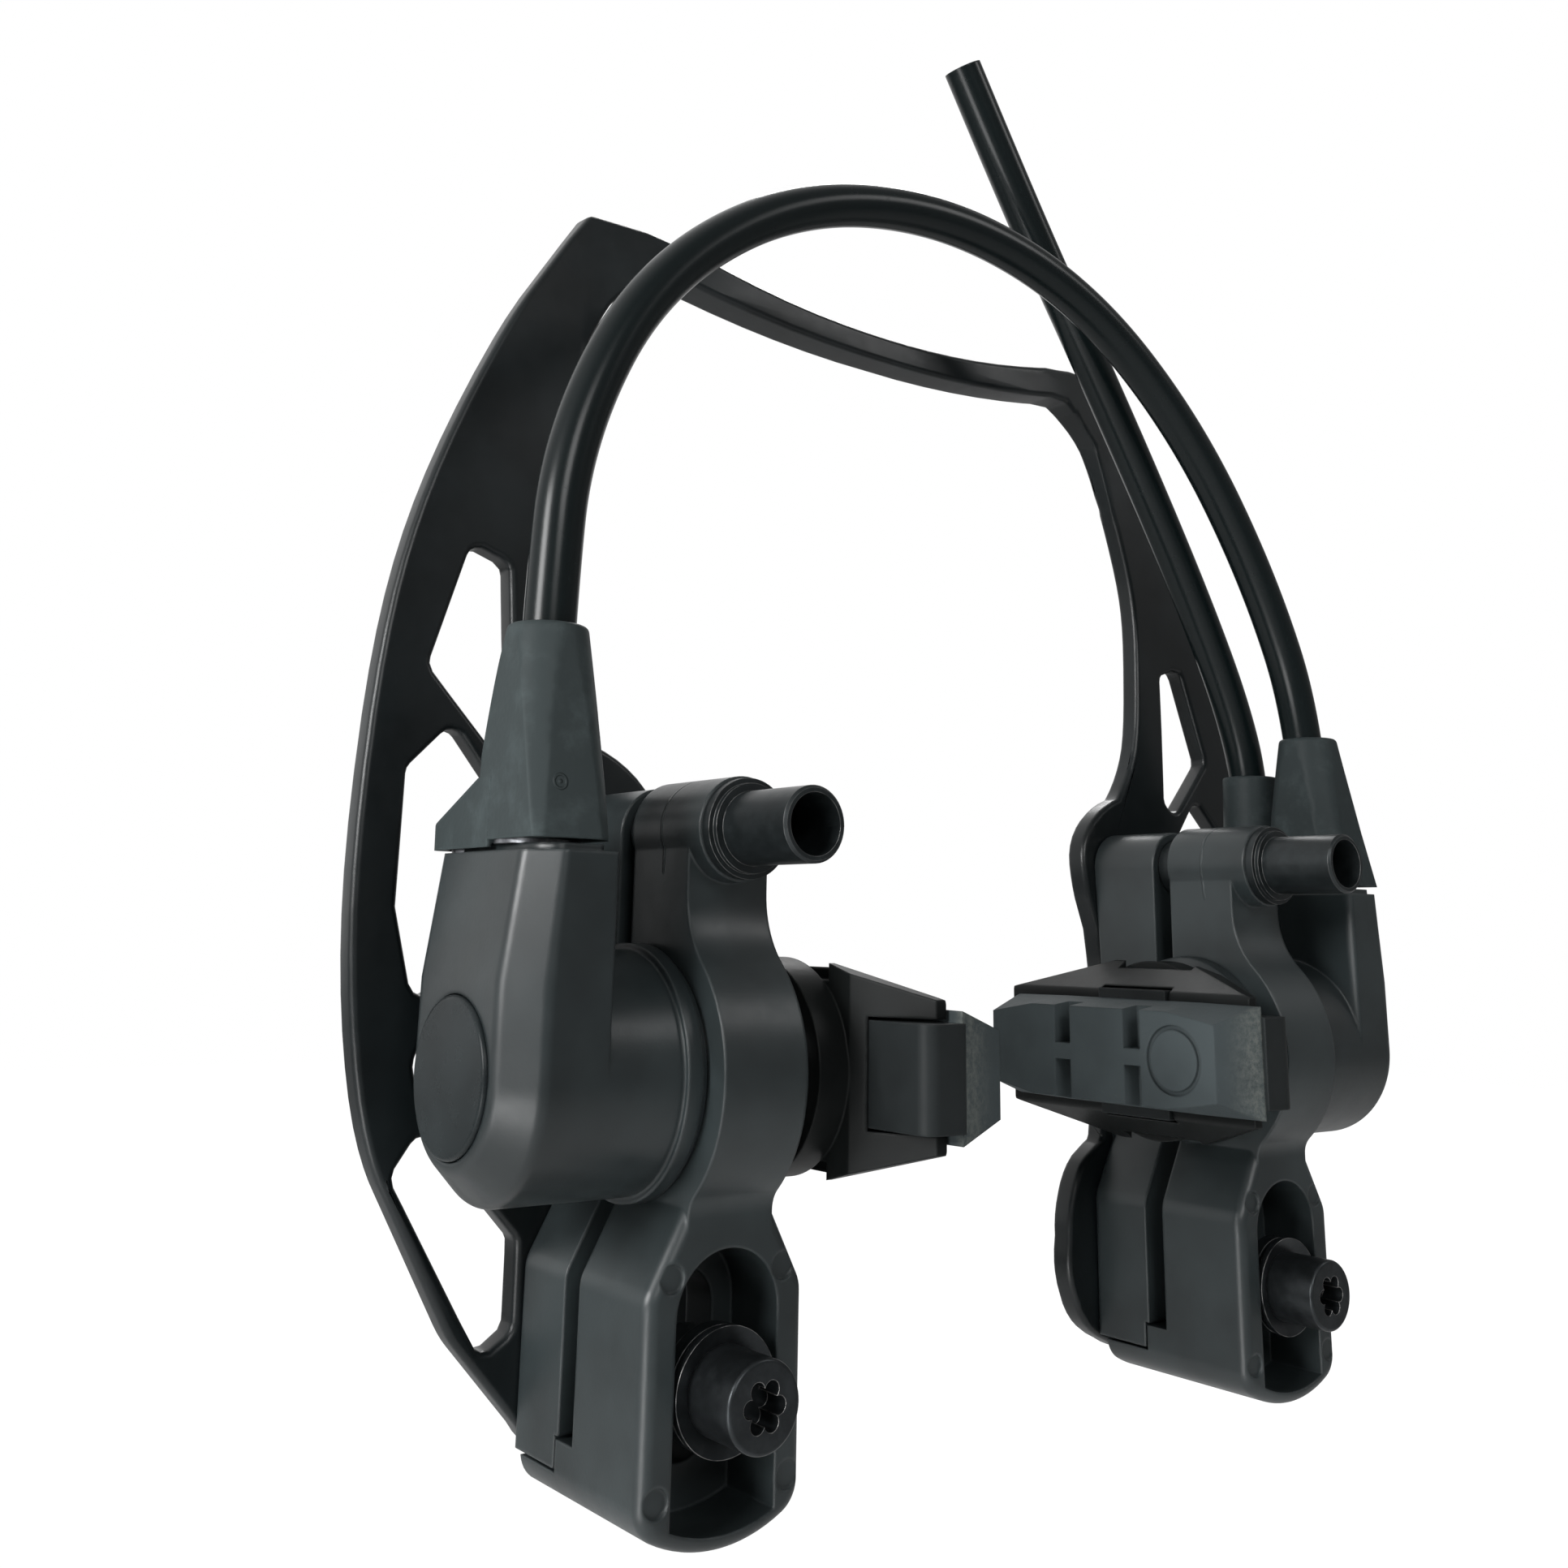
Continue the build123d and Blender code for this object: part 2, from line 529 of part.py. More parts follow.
def holder_prongs():
    """Wedge-shaped prongs from the hub to the tips, seen from the side, the front and above."""
    wide = HOLDER_HALF_LENGTH
    plan = closed(
        (CYLINDER_Y - HOLDER_FLAT_HALF, HOLDER_R), (CYLINDER_Y + HOLDER_FLAT_HALF, HOLDER_R),
        (CYLINDER_Y + wide, HOLDER_TIP_Z), (CYLINDER_Y + wide, -HOLDER_TIP_Z),
        (CYLINDER_Y + HOLDER_FLAT_HALF, -HOLDER_R), (CYLINDER_Y - HOLDER_FLAT_HALF, -HOLDER_R),
        (CYLINDER_Y - wide, -HOLDER_TIP_Z), (CYLINDER_Y - wide, HOLDER_TIP_Z),
    )
    front = closed(
        (HUB_FRONT_X, HOLDER_R), (HOLDER_TIP_X, HOLDER_TIP_Z),
        (HOLDER_TIP_X, -HOLDER_TIP_Z), (HUB_FRONT_X, -HOLDER_R),
    )
    front = rounded(front, HOLDER_TIP_R, lambda v: v.X < HOLDER_TIP_X + CLEARANCE)
    sweep_x = HOLDER_TIP_X + HOLDER_TIP_SWEEP
    top = closed(
        (HUB_FRONT_X, CYLINDER_Y - HOLDER_R), (HUB_FRONT_X, CYLINDER_Y + HOLDER_R),
        (sweep_x, CYLINDER_Y + wide), (HOLDER_TIP_X, CYLINDER_Y + wide),
        (HOLDER_TIP_X, CYLINDER_Y - wide), (sweep_x, CYLINDER_Y - wide),
    )
    body = side_prism(plan, HOLDER_TIP_X, HUB_FRONT_X)
    body = body & front_prism(front, CYLINDER_Y - wide, CYLINDER_Y + wide)
    return Pos(0, 0, CYLINDER_Z) * (body & upright_prism(top, -HOLDER_R, HOLDER_R))


def pad_holder():
    """Hub and two prongs round the pad's carrier, with notches for its tabs and a slot in each prong."""
    body = holder_prongs() + rod_x(HOLDER_R, HUB_FRONT_X, HOLDER_BACK_X, CYLINDER_Y, CYLINDER_Z)
    body -= box_between(
        (PAD_FACE_X, CYLINDER_Y - HOLDER_HALF_LENGTH - 1, CYLINDER_Z - CHANNEL_HALF_HEIGHT),
        (CHANNEL_BACK_X, CYLINDER_Y + HOLDER_HALF_LENGTH + 1, CYLINDER_Z + CHANNEL_HALF_HEIGHT),
    )
    body -= both_sides(tab_box(HOLDER_TIP_X - 1, PAD_BASE_X + TAB_THICKNESS + TAB_CLEARANCE, TAB_CLEARANCE))
    slot_half = PRONG_SLOT_LENGTH / 2
    body -= both_sides(box_between(
        (HUB_FRONT_X - PRONG_SLOT_WIDTH, PAD_Y - slot_half, HOLDER_R - PRONG_SLOT_DEPTH - PRONG_SLOT_WIDTH / 2),
        (HUB_FRONT_X, PAD_Y + slot_half, HOLDER_R + 1),
    ))
    socket_r = PISTON_NOSE_R + PISTON_CLEARANCE
    socket_end = HOLDER_BACK_X - PISTON_NOSE_LENGTH - CLEARANCE
    return body - rod_x(socket_r, socket_end, HOLDER_BACK_X + 1, CYLINDER_Y, CYLINDER_Z)


def pad_carrier():
    """Rigid back of the pad, held between the prongs, with a clip tab above and below."""
    body = box_between(
        (PAD_BASE_X, PAD_Y - CARRIER_HALF_LENGTH, CYLINDER_Z - CARRIER_HALF_HEIGHT),
        (CARRIER_BACK_X, PAD_Y + CARRIER_HALF_LENGTH, CYLINDER_Z + CARRIER_HALF_HEIGHT),
    )
    body = fillet(body.edges().filter_by(Axis.Z).group_by(Axis.X)[-1], CARRIER_CORNER_R)
    return body + both_sides(tab_box(PAD_BASE_X, PAD_BASE_X + TAB_THICKNESS, 0))


def pad_section(half_length, half_height, end_height):
    """Long eight-cornered section of the pad, full in the middle and lower at its ends."""
    straight = PAD_FACE_HALF_LENGTH - PAD_TAPER_LENGTH
    return Pos(PAD_Y, CYLINDER_Z) * closed(
        (-half_length, -end_height), (-straight, -half_height), (straight, -half_height),
        (half_length, -end_height), (half_length, end_height), (straight, half_height),
        (-straight, half_height), (-half_length, end_height),
    )


def brake_pad():
    """Friction block, for the right: tapered from base to face, with split grooves and a round mark."""
    face = pad_section(PAD_FACE_HALF_LENGTH, PAD_FACE_HALF_HEIGHT, PAD_END_HALF_HEIGHT)
    foot = pad_section(PAD_HALF_LENGTH, PAD_BASE_HALF_HEIGHT, PAD_BASE_HALF_HEIGHT - PAD_END_TAPER)
    body = loft([Plane.YZ.offset(PAD_FACE_X) * face, Plane.YZ.offset(PAD_BASE_X) * foot])
    for offset_y in (-PAD_GROOVE_OFFSET, PAD_GROOVE_OFFSET):
        middle = PAD_Y + offset_y
        groove = box_between(
            (PAD_FACE_X - 1, middle - PAD_GROOVE_WIDTH / 2, PAD_GROOVE_BRIDGE),
            (PAD_FACE_X + PAD_GROOVE_DEPTH, middle + PAD_GROOVE_WIDTH / 2, 2 * PAD_BASE_HALF_HEIGHT),
        )
        body -= both_sides(groove)
    mark_end = PAD_FACE_X + PAD_MARK_DEPTH
    mark_y = PAD_Y - PAD_MARK_OFFSET
    body -= rod_x(PAD_MARK_R, PAD_FACE_X - 1, mark_end, mark_y, CYLINDER_Z)
    return body + rod_x(PAD_MARK_R - PAD_MARK_WIDTH, PAD_FACE_X, mark_end, mark_y, CYLINDER_Z)


def boot_slice(x0, x1, y0, y1, height):
    """Rectangle in plan between two corners, at a height."""
    return Plane.XY.offset(height) * Pos((x0 + x1) / 2, (y0 + y1) / 2) * Rectangle(x1 - x0, y1 - y0)


def hose_boot():
    """Tapered rubber boot over the main port: round at the hose, flat-sided at the tower."""
    block = loft([
        boot_slice(TOWER_START + BOOT_INSET, TOWER_END - BOOT_INSET, TOWER_FRONT_Y + BOOT_INSET,
                   MAIN_PORT_Y + BOOT_BACK, BOOT_BASE_Z),
        boot_slice(PORT_X - BOOT_TOP_R - CLEARANCE, PORT_X + BOOT_TOP_R + CLEARANCE,
                   MAIN_PORT_Y - BOOT_TOP_R - CLEARANCE, MAIN_PORT_Y + BOOT_TOP_R + CLEARANCE, BOOT_TOP_Z),
    ], ruled=True)
    cone = Pos(PORT_X, MAIN_PORT_Y, (BOOT_BASE_Z + BOOT_TOP_Z) / 2)
    body = block & cone * Cone(BOOT_BASE_R, BOOT_TOP_R, BOOT_TOP_Z - BOOT_BASE_Z)
    return fillet(body.edges().filter_by(GeomType.CIRCLE).sort_by(Axis.Z)[-1], BOOT_TOP_EDGE_R)


def hose_passage():
    """What the main port's boot leaves free: the hose's way and the fitting's collar."""
    passage = rod_z(HOSE_R + BOOT_HOSE_CLEARANCE, BOOT_BASE_Z, BOOT_TOP_Z + 1, PORT_X, MAIN_PORT_Y)
    return passage + rod_z(FITTING_COLLAR_R + CLEARANCE, BOOT_BASE_Z - 1, HOSE_START_Z, PORT_X, MAIN_PORT_Y)


def boot_lug():
    """Wedge-shaped cover of the boot over the second port, sloping down to the tower's back."""
    base = TOWER_TOP + LUG_GAP
    back = TOWER_BACK_Y - BOOT_INSET
    slope = closed(
        (MAIN_PORT_Y + NIPPLE_R, base), (back, base), (back, base + LUG_EDGE_HEIGHT),
        (MAIN_PORT_Y + BOOT_BACK, base + LUG_HEIGHT), (MAIN_PORT_Y + NIPPLE_R, base + LUG_HEIGHT),
    )
    lug = side_prism(slope, TOWER_START + BOOT_INSET, TOWER_END - BOOT_INSET)
    lug = fillet(lug.edges().filter_by(Axis.Z).group_by(Axis.Y)[-1], LUG_CORNER_R)
    lug -= port_seat(SEAT_INSET - 2 * CLEARANCE, PORT_FACE_Z + CLEARANCE)
    head_space = PORT_FACE_Z + 2 * BLEED_HEAD_HEIGHT
    return lug - rod_z(BLEED_HEAD_R + CLEARANCE, TOWER_TOP, head_space, PORT_X, REAR_PORT_Y)


def supply_boot():
    """Short round boot over the supply port."""
    outer = Pos(PORT_X, REAR_PORT_Y, (BOOT_BASE_Z + SUPPLY_BOOT_TOP_Z) / 2)
    body = outer * Cone(SUPPLY_BOOT_R, SUPPLY_BOOT_TOP_R, SUPPLY_BOOT_TOP_Z - BOOT_BASE_Z)
    body -= rod_z(HOSE_R + BOOT_HOSE_CLEARANCE, BOOT_BASE_Z, SUPPLY_BOOT_TOP_Z + 1, PORT_X, REAR_PORT_Y)
    return body - rod_z(SUPPLY_COLLAR_R + CLEARANCE, BOOT_BASE_Z - 1, HOSE_START_Z, PORT_X, REAR_PORT_Y)


def hose_fitting(y, collar_r):
    """Fitting screwed into a port: threaded end, collar and the nipple that the hose seats on."""
    body = rod_z(PORT_R - PISTON_CLEARANCE, TOWER_TOP - PORT_DEPTH + 1, PORT_FACE_Z, PORT_X, y)
    body += rod_z(collar_r, PORT_FACE_Z, BOOT_BASE_Z + COLLAR_RISE, PORT_X, y)
    return body + rod_z(NIPPLE_R, BOOT_BASE_Z, HOSE_START_Z, PORT_X, y)


def bleed_screw():
    """Screw that closes the left cylinder's second port."""
    top = PORT_FACE_Z + BLEED_HEAD_HEIGHT
    body = rod_z(PORT_R - PISTON_CLEARANCE, TOWER_TOP - PORT_DEPTH + 1, PORT_FACE_Z, PORT_X, REAR_PORT_Y)
    body += rod_z(BLEED_HEAD_R, PORT_FACE_Z, top, PORT_X, REAR_PORT_Y)
    key = Pos(PORT_X, REAR_PORT_Y) * RegularPolygon(BLEED_KEY_R, 6)
    return body - upright_prism(key, top - BLEED_KEY_DEPTH, top + 1)


def at_boss(*points):
    """Front-view points given from the right boss, placed from the arch's middle."""
    return [(BOSS_X + x, z) for x, z in points]


def booster_outline():
    """Front view of one leg and half of the bar, for the right."""
    bar_top = 114.0
    bar_bottom = 109.6
    bar_end, bar_mouth, foot_in, foot_out, bend, hip = at_boss(
        (-3.6, 119.0), (-6.5, 112.8), (-6.0, -9.2), (8.0, -6.6), (15.5, 1.5), (23.0, 14.5)
    )
    inner = at_boss(
        (-6.5, 112.8), (-0.6, 108.5), (4.3, 97.0), (6.8, 86.0), (6.4, 74.5), (4.8, 64.5), (1.0, 57.5)
    )
    waist = at_boss((1.0, 57.5), (-6.6, 51.2), (-8.6, 44.0))
    shin, ankle, toe_in = at_boss((-6.6, 36.0), (-6.6, 14.0), (-13.4, 2.4))
    outer = at_boss(
        (23.0, 14.5), (26.6, 26.0), (27.9, 41.9), (27.5, 54.0), (25.4, 72.0), (20.8, 88.0),
        (13.3, 105.0), (4.3, 120.0)
    )
    edges = [
        Line((0, bar_top), (0, bar_bottom)),
        ThreePointArc((0, bar_bottom), (bar_mouth[0] / 2, 110.3), bar_mouth),
        Spline(inner),
        ThreePointArc(*waist),
        Line(waist[-1], shin),
        Line(shin, ankle),
        ThreePointArc(ankle, toe_in, foot_in),
        ThreePointArc(foot_in, (BOSS_X + 1.0, -10.9), foot_out),
        Line(foot_out, bend),
        Line(bend, hip),
        Spline(outer, tangents=[(7.5, 13.0), (-9.0, 15.0)]),
        Line(outer[-1], bar_end),
        ThreePointArc(bar_end, (bar_end[0] / 2, 115.2), (0, bar_top)),
    ]
    face = rounded(make_face(edges), BOOSTER_CORNER_R, near(*bend))
    return rounded(face, BOOSTER_WAIST_R, near(*shin))


def booster_windows():
    """Front view of the leg's truss windows, for the right."""
    upper = at_boss((16.9, 77.5), (12.2, 76.0), (11.2, 57.6), (13.4, 55.8), (21.2, 64.0))
    middle = at_boss((18.2, 58.4), (23.0, 53.5), (23.3, 40.0), (20.8, 30.5), (14.0, 38.0), (12.6, 51.5))
    lower = at_boss((19.4, 20.2), (22.4, 16.0), (12.1, -0.4), (9.0, 1.6), (9.1, 9.6))
    windows = [rounded(closed(*points), WINDOW_R) for points in (upper, middle, lower)]
    return windows + [Pos(*at_boss((17.2, 25.6))[0]) * Circle(WINDOW_HOLE_R)]


def booster_arch():
    """Arch plate: a flat foot on each boss, legs that lean back with truss windows, and a thin bar."""
    top = BOOSTER_TOP_Z + 1
    bottom = -BLOCK_BOTTOM - 1
    back_top = (top - BOOSTER_BEND_Z) * tan(radians(BOOSTER_LEAN))
    profile = closed(
        (0, bottom), (0, BOOSTER_BEND_Z), (back_top, top), (back_top - BOOSTER_THICKNESS, top),
        (-BOOSTER_THICKNESS, BOOSTER_BEND_Z), (-BOOSTER_THICKNESS, bottom),
    )
    profile = rounded(profile, BOOSTER_BEND_R, lambda v: abs(v.Y - BOOSTER_BEND_Z) < CLEARANCE)
    front, back = -2 * BOOSTER_THICKNESS, back_top + BOOSTER_THICKNESS
    half = front_prism(booster_outline(), front, back) & side_prism(profile, 0, BOSS_SPACING)
    for window in booster_windows():
        half -= front_prism(window, front, back)
    half -= front_prism(Pos(BOSS_X, 0) * bolt_slot(), front, back)
    return half + mirrored(half)


def cord_tube(points):
    """Hose along straight runs joined by tangent arcs. Prints the arcs' radii."""
    points = [Vector(*p) for p in points]
    runs = [points[i + 1] - points[i] for i in range(len(points) - 1)]
    radii = []
    for first, second in zip(runs, runs[1:]):
        turn = radians(first.get_angle(second))
        radii.append(0.45 * min(first.length, second.length) / tan(turn / 2))
    path = FilletPolyline(*points, radius=radii)
    print("hose length", round(path.length, 1), "radii", [round(r, 1) for r in radii])
    start = Plane(origin=points[0], z_dir=runs[0])
    tube = sweep(start * Circle(HOSE_R), path=path)
    section = pi * HOSE_R ** 2
    print("hose volume", round(tube.volume, 1), "section times length", round(section * path.length, 1))
    return tube


def crossover_route():
    """Points of the hose that joins the two cylinders over the arch's front."""
    end_x = BOSS_X + PORT_X
    above_boot = BOOT_TOP_Z + 1.5
    return [
        (-end_x, MAIN_PORT_Y, HOSE_START_Z), (-end_x, MAIN_PORT_Y, above_boot),
        (-57.4, -19.2, 85.0), (-48.2, -18.8, 104.0), (-29.6, -18.4, 118.4), (-6.0, -18.2, 123.8),
        (17.2, -18.4, 119.4), (36.6, -18.6, 105.6), (50.4, -19.0, 86.6),
        (end_x, MAIN_PORT_Y, above_boot), (end_x, MAIN_PORT_Y, HOSE_START_Z),
    ]


def supply_route():
    """Points of the hose that comes from the lever to the right cylinder's rear port."""
    end_x = BOSS_X + PORT_X
    return [
        (end_x, REAR_PORT_Y, HOSE_START_Z), (end_x, REAR_PORT_Y, SUPPLY_BOOT_TOP_Z - 1),
        (55.2, -9.9, 70.5), (48.2, -10.0, 83.5), (38.0, -10.2, 99.5), (26.0, -10.4, 117.0),
        (15.0, -10.5, 132.6), (3.6, -10.5, 151.0),
    ]


def placed(shape, side):
    """A shape modelled about its clamp's middle, moved to the left (-1) or right (1) boss."""
    return Pos(side * BOSS_X, 0, 0) * shape


def build_nodes():
    """All pieces by name, each in its place."""
    nodes = {"booster_arch": booster_arch()}
    for name, side in (("left", -1), ("right", 1)):
        def own(shape):
            """Mirror a right-hand shape about its clamp's middle for the left side."""
            return placed(mirrored(shape) if side < 0 else shape, side)

        nodes[f"{name}_front_clamp"] = placed(front_clamp(), side)
        nodes[f"{name}_rear_clamp"] = placed(rear_clamp(), side)
        nodes[f"{name}_clamp_sleeve"] = placed(clamp_sleeve(), side)
        nodes[f"{name}_mounting_bolt"] = placed(mounting_bolt(), side)
        nodes[f"{name}_dished_washer"] = placed(dished_washer(), side)
        nodes[f"{name}_spacer_bush"] = placed(spacer_bush(), side)
        nodes[f"{name}_cylinder"] = own(cylinder_housing())
        nodes[f"{name}_end_disc"] = own(end_disc())
        nodes[f"{name}_piston"] = own(piston())
        nodes[f"{name}_piston_seal"] = own(piston_seal())
        nodes[f"{name}_pad_holder"] = own(pad_holder())
        nodes[f"{name}_pad_carrier"] = own(pad_carrier())
        nodes[f"{name}_brake_pad"] = own(brake_pad())
        nodes[f"{name}_hose_fitting"] = own(hose_fitting(MAIN_PORT_Y, FITTING_COLLAR_R))
        boot = hose_boot() + boot_lug() if side < 0 else hose_boot()
        nodes[f"{name}_hose_boot"] = own(boot - hose_passage())
    nodes["left_bleed_screw"] = placed(mirrored(bleed_screw()), -1)
    nodes["supply_fitting"] = placed(hose_fitting(REAR_PORT_Y, SUPPLY_COLLAR_R), 1)
    nodes["supply_boot"] = placed(supply_boot(), 1)
    nodes["crossover_hose"] = cord_tube(crossover_route())
    nodes["supply_hose"] = cord_tube(supply_route())
    return nodes


os.makedirs("parts", exist_ok=True)
for node_name, solid in build_nodes().items():
    export_step(solid, f"parts/{node_name}.step")
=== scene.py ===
"""Dresses the hydraulic rim brake: finishes for every piece, the two hoses, soft light and the camera."""
import logging
import math
from dataclasses import dataclass
from enum import Enum
from typing import Union

import bpy
from mathutils import Matrix, Vector


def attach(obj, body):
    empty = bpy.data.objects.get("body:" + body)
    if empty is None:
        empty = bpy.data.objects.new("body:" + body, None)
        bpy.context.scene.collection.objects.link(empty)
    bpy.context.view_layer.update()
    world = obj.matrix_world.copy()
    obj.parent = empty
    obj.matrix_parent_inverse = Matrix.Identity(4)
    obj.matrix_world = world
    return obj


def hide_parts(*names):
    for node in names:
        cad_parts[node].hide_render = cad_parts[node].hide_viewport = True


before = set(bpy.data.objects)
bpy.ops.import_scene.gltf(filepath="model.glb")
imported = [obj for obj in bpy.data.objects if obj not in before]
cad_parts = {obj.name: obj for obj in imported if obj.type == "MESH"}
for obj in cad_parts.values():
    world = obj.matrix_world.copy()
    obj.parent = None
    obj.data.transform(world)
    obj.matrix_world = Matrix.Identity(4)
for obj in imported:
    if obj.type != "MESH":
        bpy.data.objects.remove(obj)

log = logging.getLogger("rim_brake")
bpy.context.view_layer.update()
MM = 0.001
SIDES = ("left", "right")
BODY = "caliper"
BOSS_X = 40.0
PORT_OUT = 18.5
PORT_Y = -19.4
Colour = tuple[float, float, float]
Table = tuple[tuple[float, float], ...]
Route = tuple[tuple[float, float, float], ...]
Input = Union["Socket", float, int, tuple]


class Slot(Enum):
    """Names of the frame's material slots; each moulding keeps one, but none is given to a piece."""

    BOOSTER = "booster_plastic"
    HOUSING = "housing_plastic"
    BOOT = "boot_rubber"
    FITTING = "fitting_metal"
    HOSE = "hose_plastic"


class Socket:
    """One output of a shader tree, with Python's operators as Math nodes."""

    def __init__(self, tree: "Tree", link: bpy.types.NodeSocket) -> None:
        """Keep the tree and the output.

        Args:
            tree: the tree that the output belongs to.
            link: the node's output socket.
        """
        self.tree = tree
        self.link = link

    def _math(self, operation: str, *values: Input) -> "Socket":
        """Add a Math node fed by this socket's values."""
        return self.tree.node("ShaderNodeMath", {"operation": operation}, *values)

    def __add__(self, other: Input) -> "Socket":
        """Sum."""
        return self._math("ADD", self, other)

    def __radd__(self, other: Input) -> "Socket":
        """Sum with a number on the left."""
        return self._math("ADD", other, self)

    def __sub__(self, other: Input) -> "Socket":
        """Difference."""
        return self._math("SUBTRACT", self, other)

    def __rsub__(self, other: Input) -> "Socket":
        """Difference from a number on the left."""
        return self._math("SUBTRACT", other, self)

    def __mul__(self, other: Input) -> "Socket":
        """Product."""
        return self._math("MULTIPLY", self, other)

    def __pow__(self, other: Input) -> "Socket":
        """Power."""
        return self._math("POWER", self, other)

    def __lt__(self, other: Input) -> "Socket":
        """One where the value is below the other, else zero."""
        return self._math("LESS_THAN", self, other)

    def at_least(self, other: Input) -> "Socket":
        """The greater of two values."""
        return self._math("MAXIMUM", self, other)

    def size(self) -> "Socket":
        """Absolute value."""
        return self._math("ABSOLUTE", self)

    def ramp(self, low: float, high: float) -> "Socket":
        """Smooth step from zero at low to one at high.

        Args:
            low: value where the step starts.
            high: value where the step ends.

        Returns:
            The stepped value, clamped.
        """
        return self.tree.node("ShaderNodeMapRange", {"interpolation_type": "SMOOTHSTEP"}, self, low, high,
                              0.0, 1.0)


class Tree:
    """A material's or world's node tree with one method that adds any node."""

    def __init__(self, owner: bpy.types.Material | bpy.types.World) -> None:
        """Empty the owner's tree and keep it.

        Args:
            owner: the material or world to fill.
        """
        owner.use_nodes = True
        self.tree = owner.node_tree
        self.tree.nodes.clear()

    def node(self, kind: str, settings: dict | None = None, *values: Input, out: int | str = 0,
             **named: Input) -> Socket:
        """Add a node, set it up, feed it and return one output.

        Args:
            kind: the node's type.
            settings: the node's own properties, set first.
            values: values or sockets for the inputs in order.
            out: which output to return.
            named: values or sockets for inputs by name, with underscores for spaces.

        Returns:
            The chosen output.
        """
        made = self.tree.nodes.new(kind)
        for key, value in (settings or {}).items():
            setattr(made, key, value)
        sockets = [s for s in made.inputs if s.enabled]
        pairs = list(zip(sockets, values))
        pairs += [(made.inputs[name.replace("_", " ")], value) for name, value in named.items()]
        for socket, value in pairs:
            self._feed(socket, value)
        if not made.outputs:
            return Socket(self, None)
        outputs = [s for s in made.outputs if s.enabled]
        return Socket(self, made.outputs[out] if isinstance(out, str) else outputs[out])

    def _feed(self, socket: bpy.types.NodeSocket, value: Input) -> None:
        """Link or set one input."""
        if isinstance(value, Socket):
            self.tree.links.new(value.link, socket)
        elif isinstance(value, tuple) and len(value) == 3 and socket.type == "RGBA":
            socket.default_value = (*value, 1.0)
        else:
            socket.default_value = value

    def place(self) -> Socket:
        """Object coordinates, which are the row's own metres."""
        return self.node("ShaderNodeTexCoord", out="Object")

    def parts(self, vector: Socket) -> tuple[Socket, Socket, Socket]:
        """X, Y and Z of a vector."""
        split = self.node("ShaderNodeSeparateXYZ", None, vector)
        outputs = split.link.node.outputs
        return tuple(Socket(self, outputs[i]) for i in range(3))

    def ray(self, kind: str) -> Socket:
        """One for rays of a kind, such as Camera or Glossy, else zero."""
        return self.node("ShaderNodeLightPath", out=f"Is {kind} Ray")

    def noise(self, scale: float, detail: float = 2.0, rough: float = 0.5) -> Socket:
        """Cloudy noise from zero to one, on the object's own coordinates.

        Args:
            scale: cells a metre.
            detail: octaves.
            rough: how strong the finer octaves are.

        Returns:
            The noise's value.
        """
        return self.node("ShaderNodeTexNoise", {"normalize": True}, self.place(), Scale=scale, Detail=detail,
                         Roughness=rough)

    def specks(self, scale: float) -> Socket:
        """Distance to the nearest of many scattered points, so many to a metre."""
        return self.node("ShaderNodeTexVoronoi", {"feature": "F1"}, self.place(), Scale=scale)

    def mix(self, factor: Input, first: Input, second: Input) -> Socket:
        """Blend two colours.

        Args:
            factor: how much of the second.
            first: colour or socket.
            second: colour or socket.

        Returns:
            The mixed colour.
        """
        made = self.tree.nodes.new("ShaderNodeMix")
        made.data_type = "RGBA"
        self._feed(made.inputs["Factor"], factor)
        for socket, value in zip([s for s in made.inputs if s.type == "RGBA"], (first, second)):
            self._feed(socket, value)
        return Socket(self, [s for s in made.outputs if s.type == "RGBA"][0])

    def soft_edge(self, radius: float) -> Socket:
        """Normal that rounds every edge off, as a moulded or tumbled piece's edges are.

        Args:
            radius: the rounding's radius in metres.

        Returns:
            The rounded normal.
        """
        return self.node("ShaderNodeBevel", {"samples": 6}, radius)

    def wear_and_highlight_edge(self, rounded: Socket) -> Socket:
        """Mask that is one on sharp edges and zero on open faces, for edges painted paler as a highlight and
        for real edge wear.

        Args:
            rounded: normal from soft_edge.

        Returns:
            The mask.
        """
        flat = self.node("ShaderNodeNewGeometry", out="Normal")
        agree = self.node("ShaderNodeVectorMath", {"operation": "DOT_PRODUCT"}, rounded, flat, out="Value")
        return (1.0 - agree).ramp(0.02, 0.16)

    def bump(self, height: Socket, distance: float, rounded: Socket) -> Socket:
        """Rounded normal raised by a height.

        Args:
            height: from zero to one.
            distance: metres that a height of one stands for.
            rounded: normal from soft_edge.

        Returns:
            The bent normal.
        """
        return self.node("ShaderNodeBump", None, Strength=1.0, Distance=distance, Height=height,
                         Normal=rounded)

    def seam(self, across_y: float, low_z: float) -> Socket:
        """Parting line of a mould: a thin uneven ridge where two halves met.

        Args:
            across_y: where the halves met, in millimetres.
            low_z: height above which the line shows, in millimetres.

        Returns:
            The ridge's height, from zero to one.
        """
        _, along, up = self.parts(self.place())
        wander = (self.noise(300.0, 3.0) - 0.5) * (0.5 * MM)
        off = (along + wander - across_y * MM).size()
        return (1.0 - off.ramp(0.06 * MM, 0.22 * MM)) * up.ramp((low_z - 0.5) * MM, (low_z + 0.5) * MM)

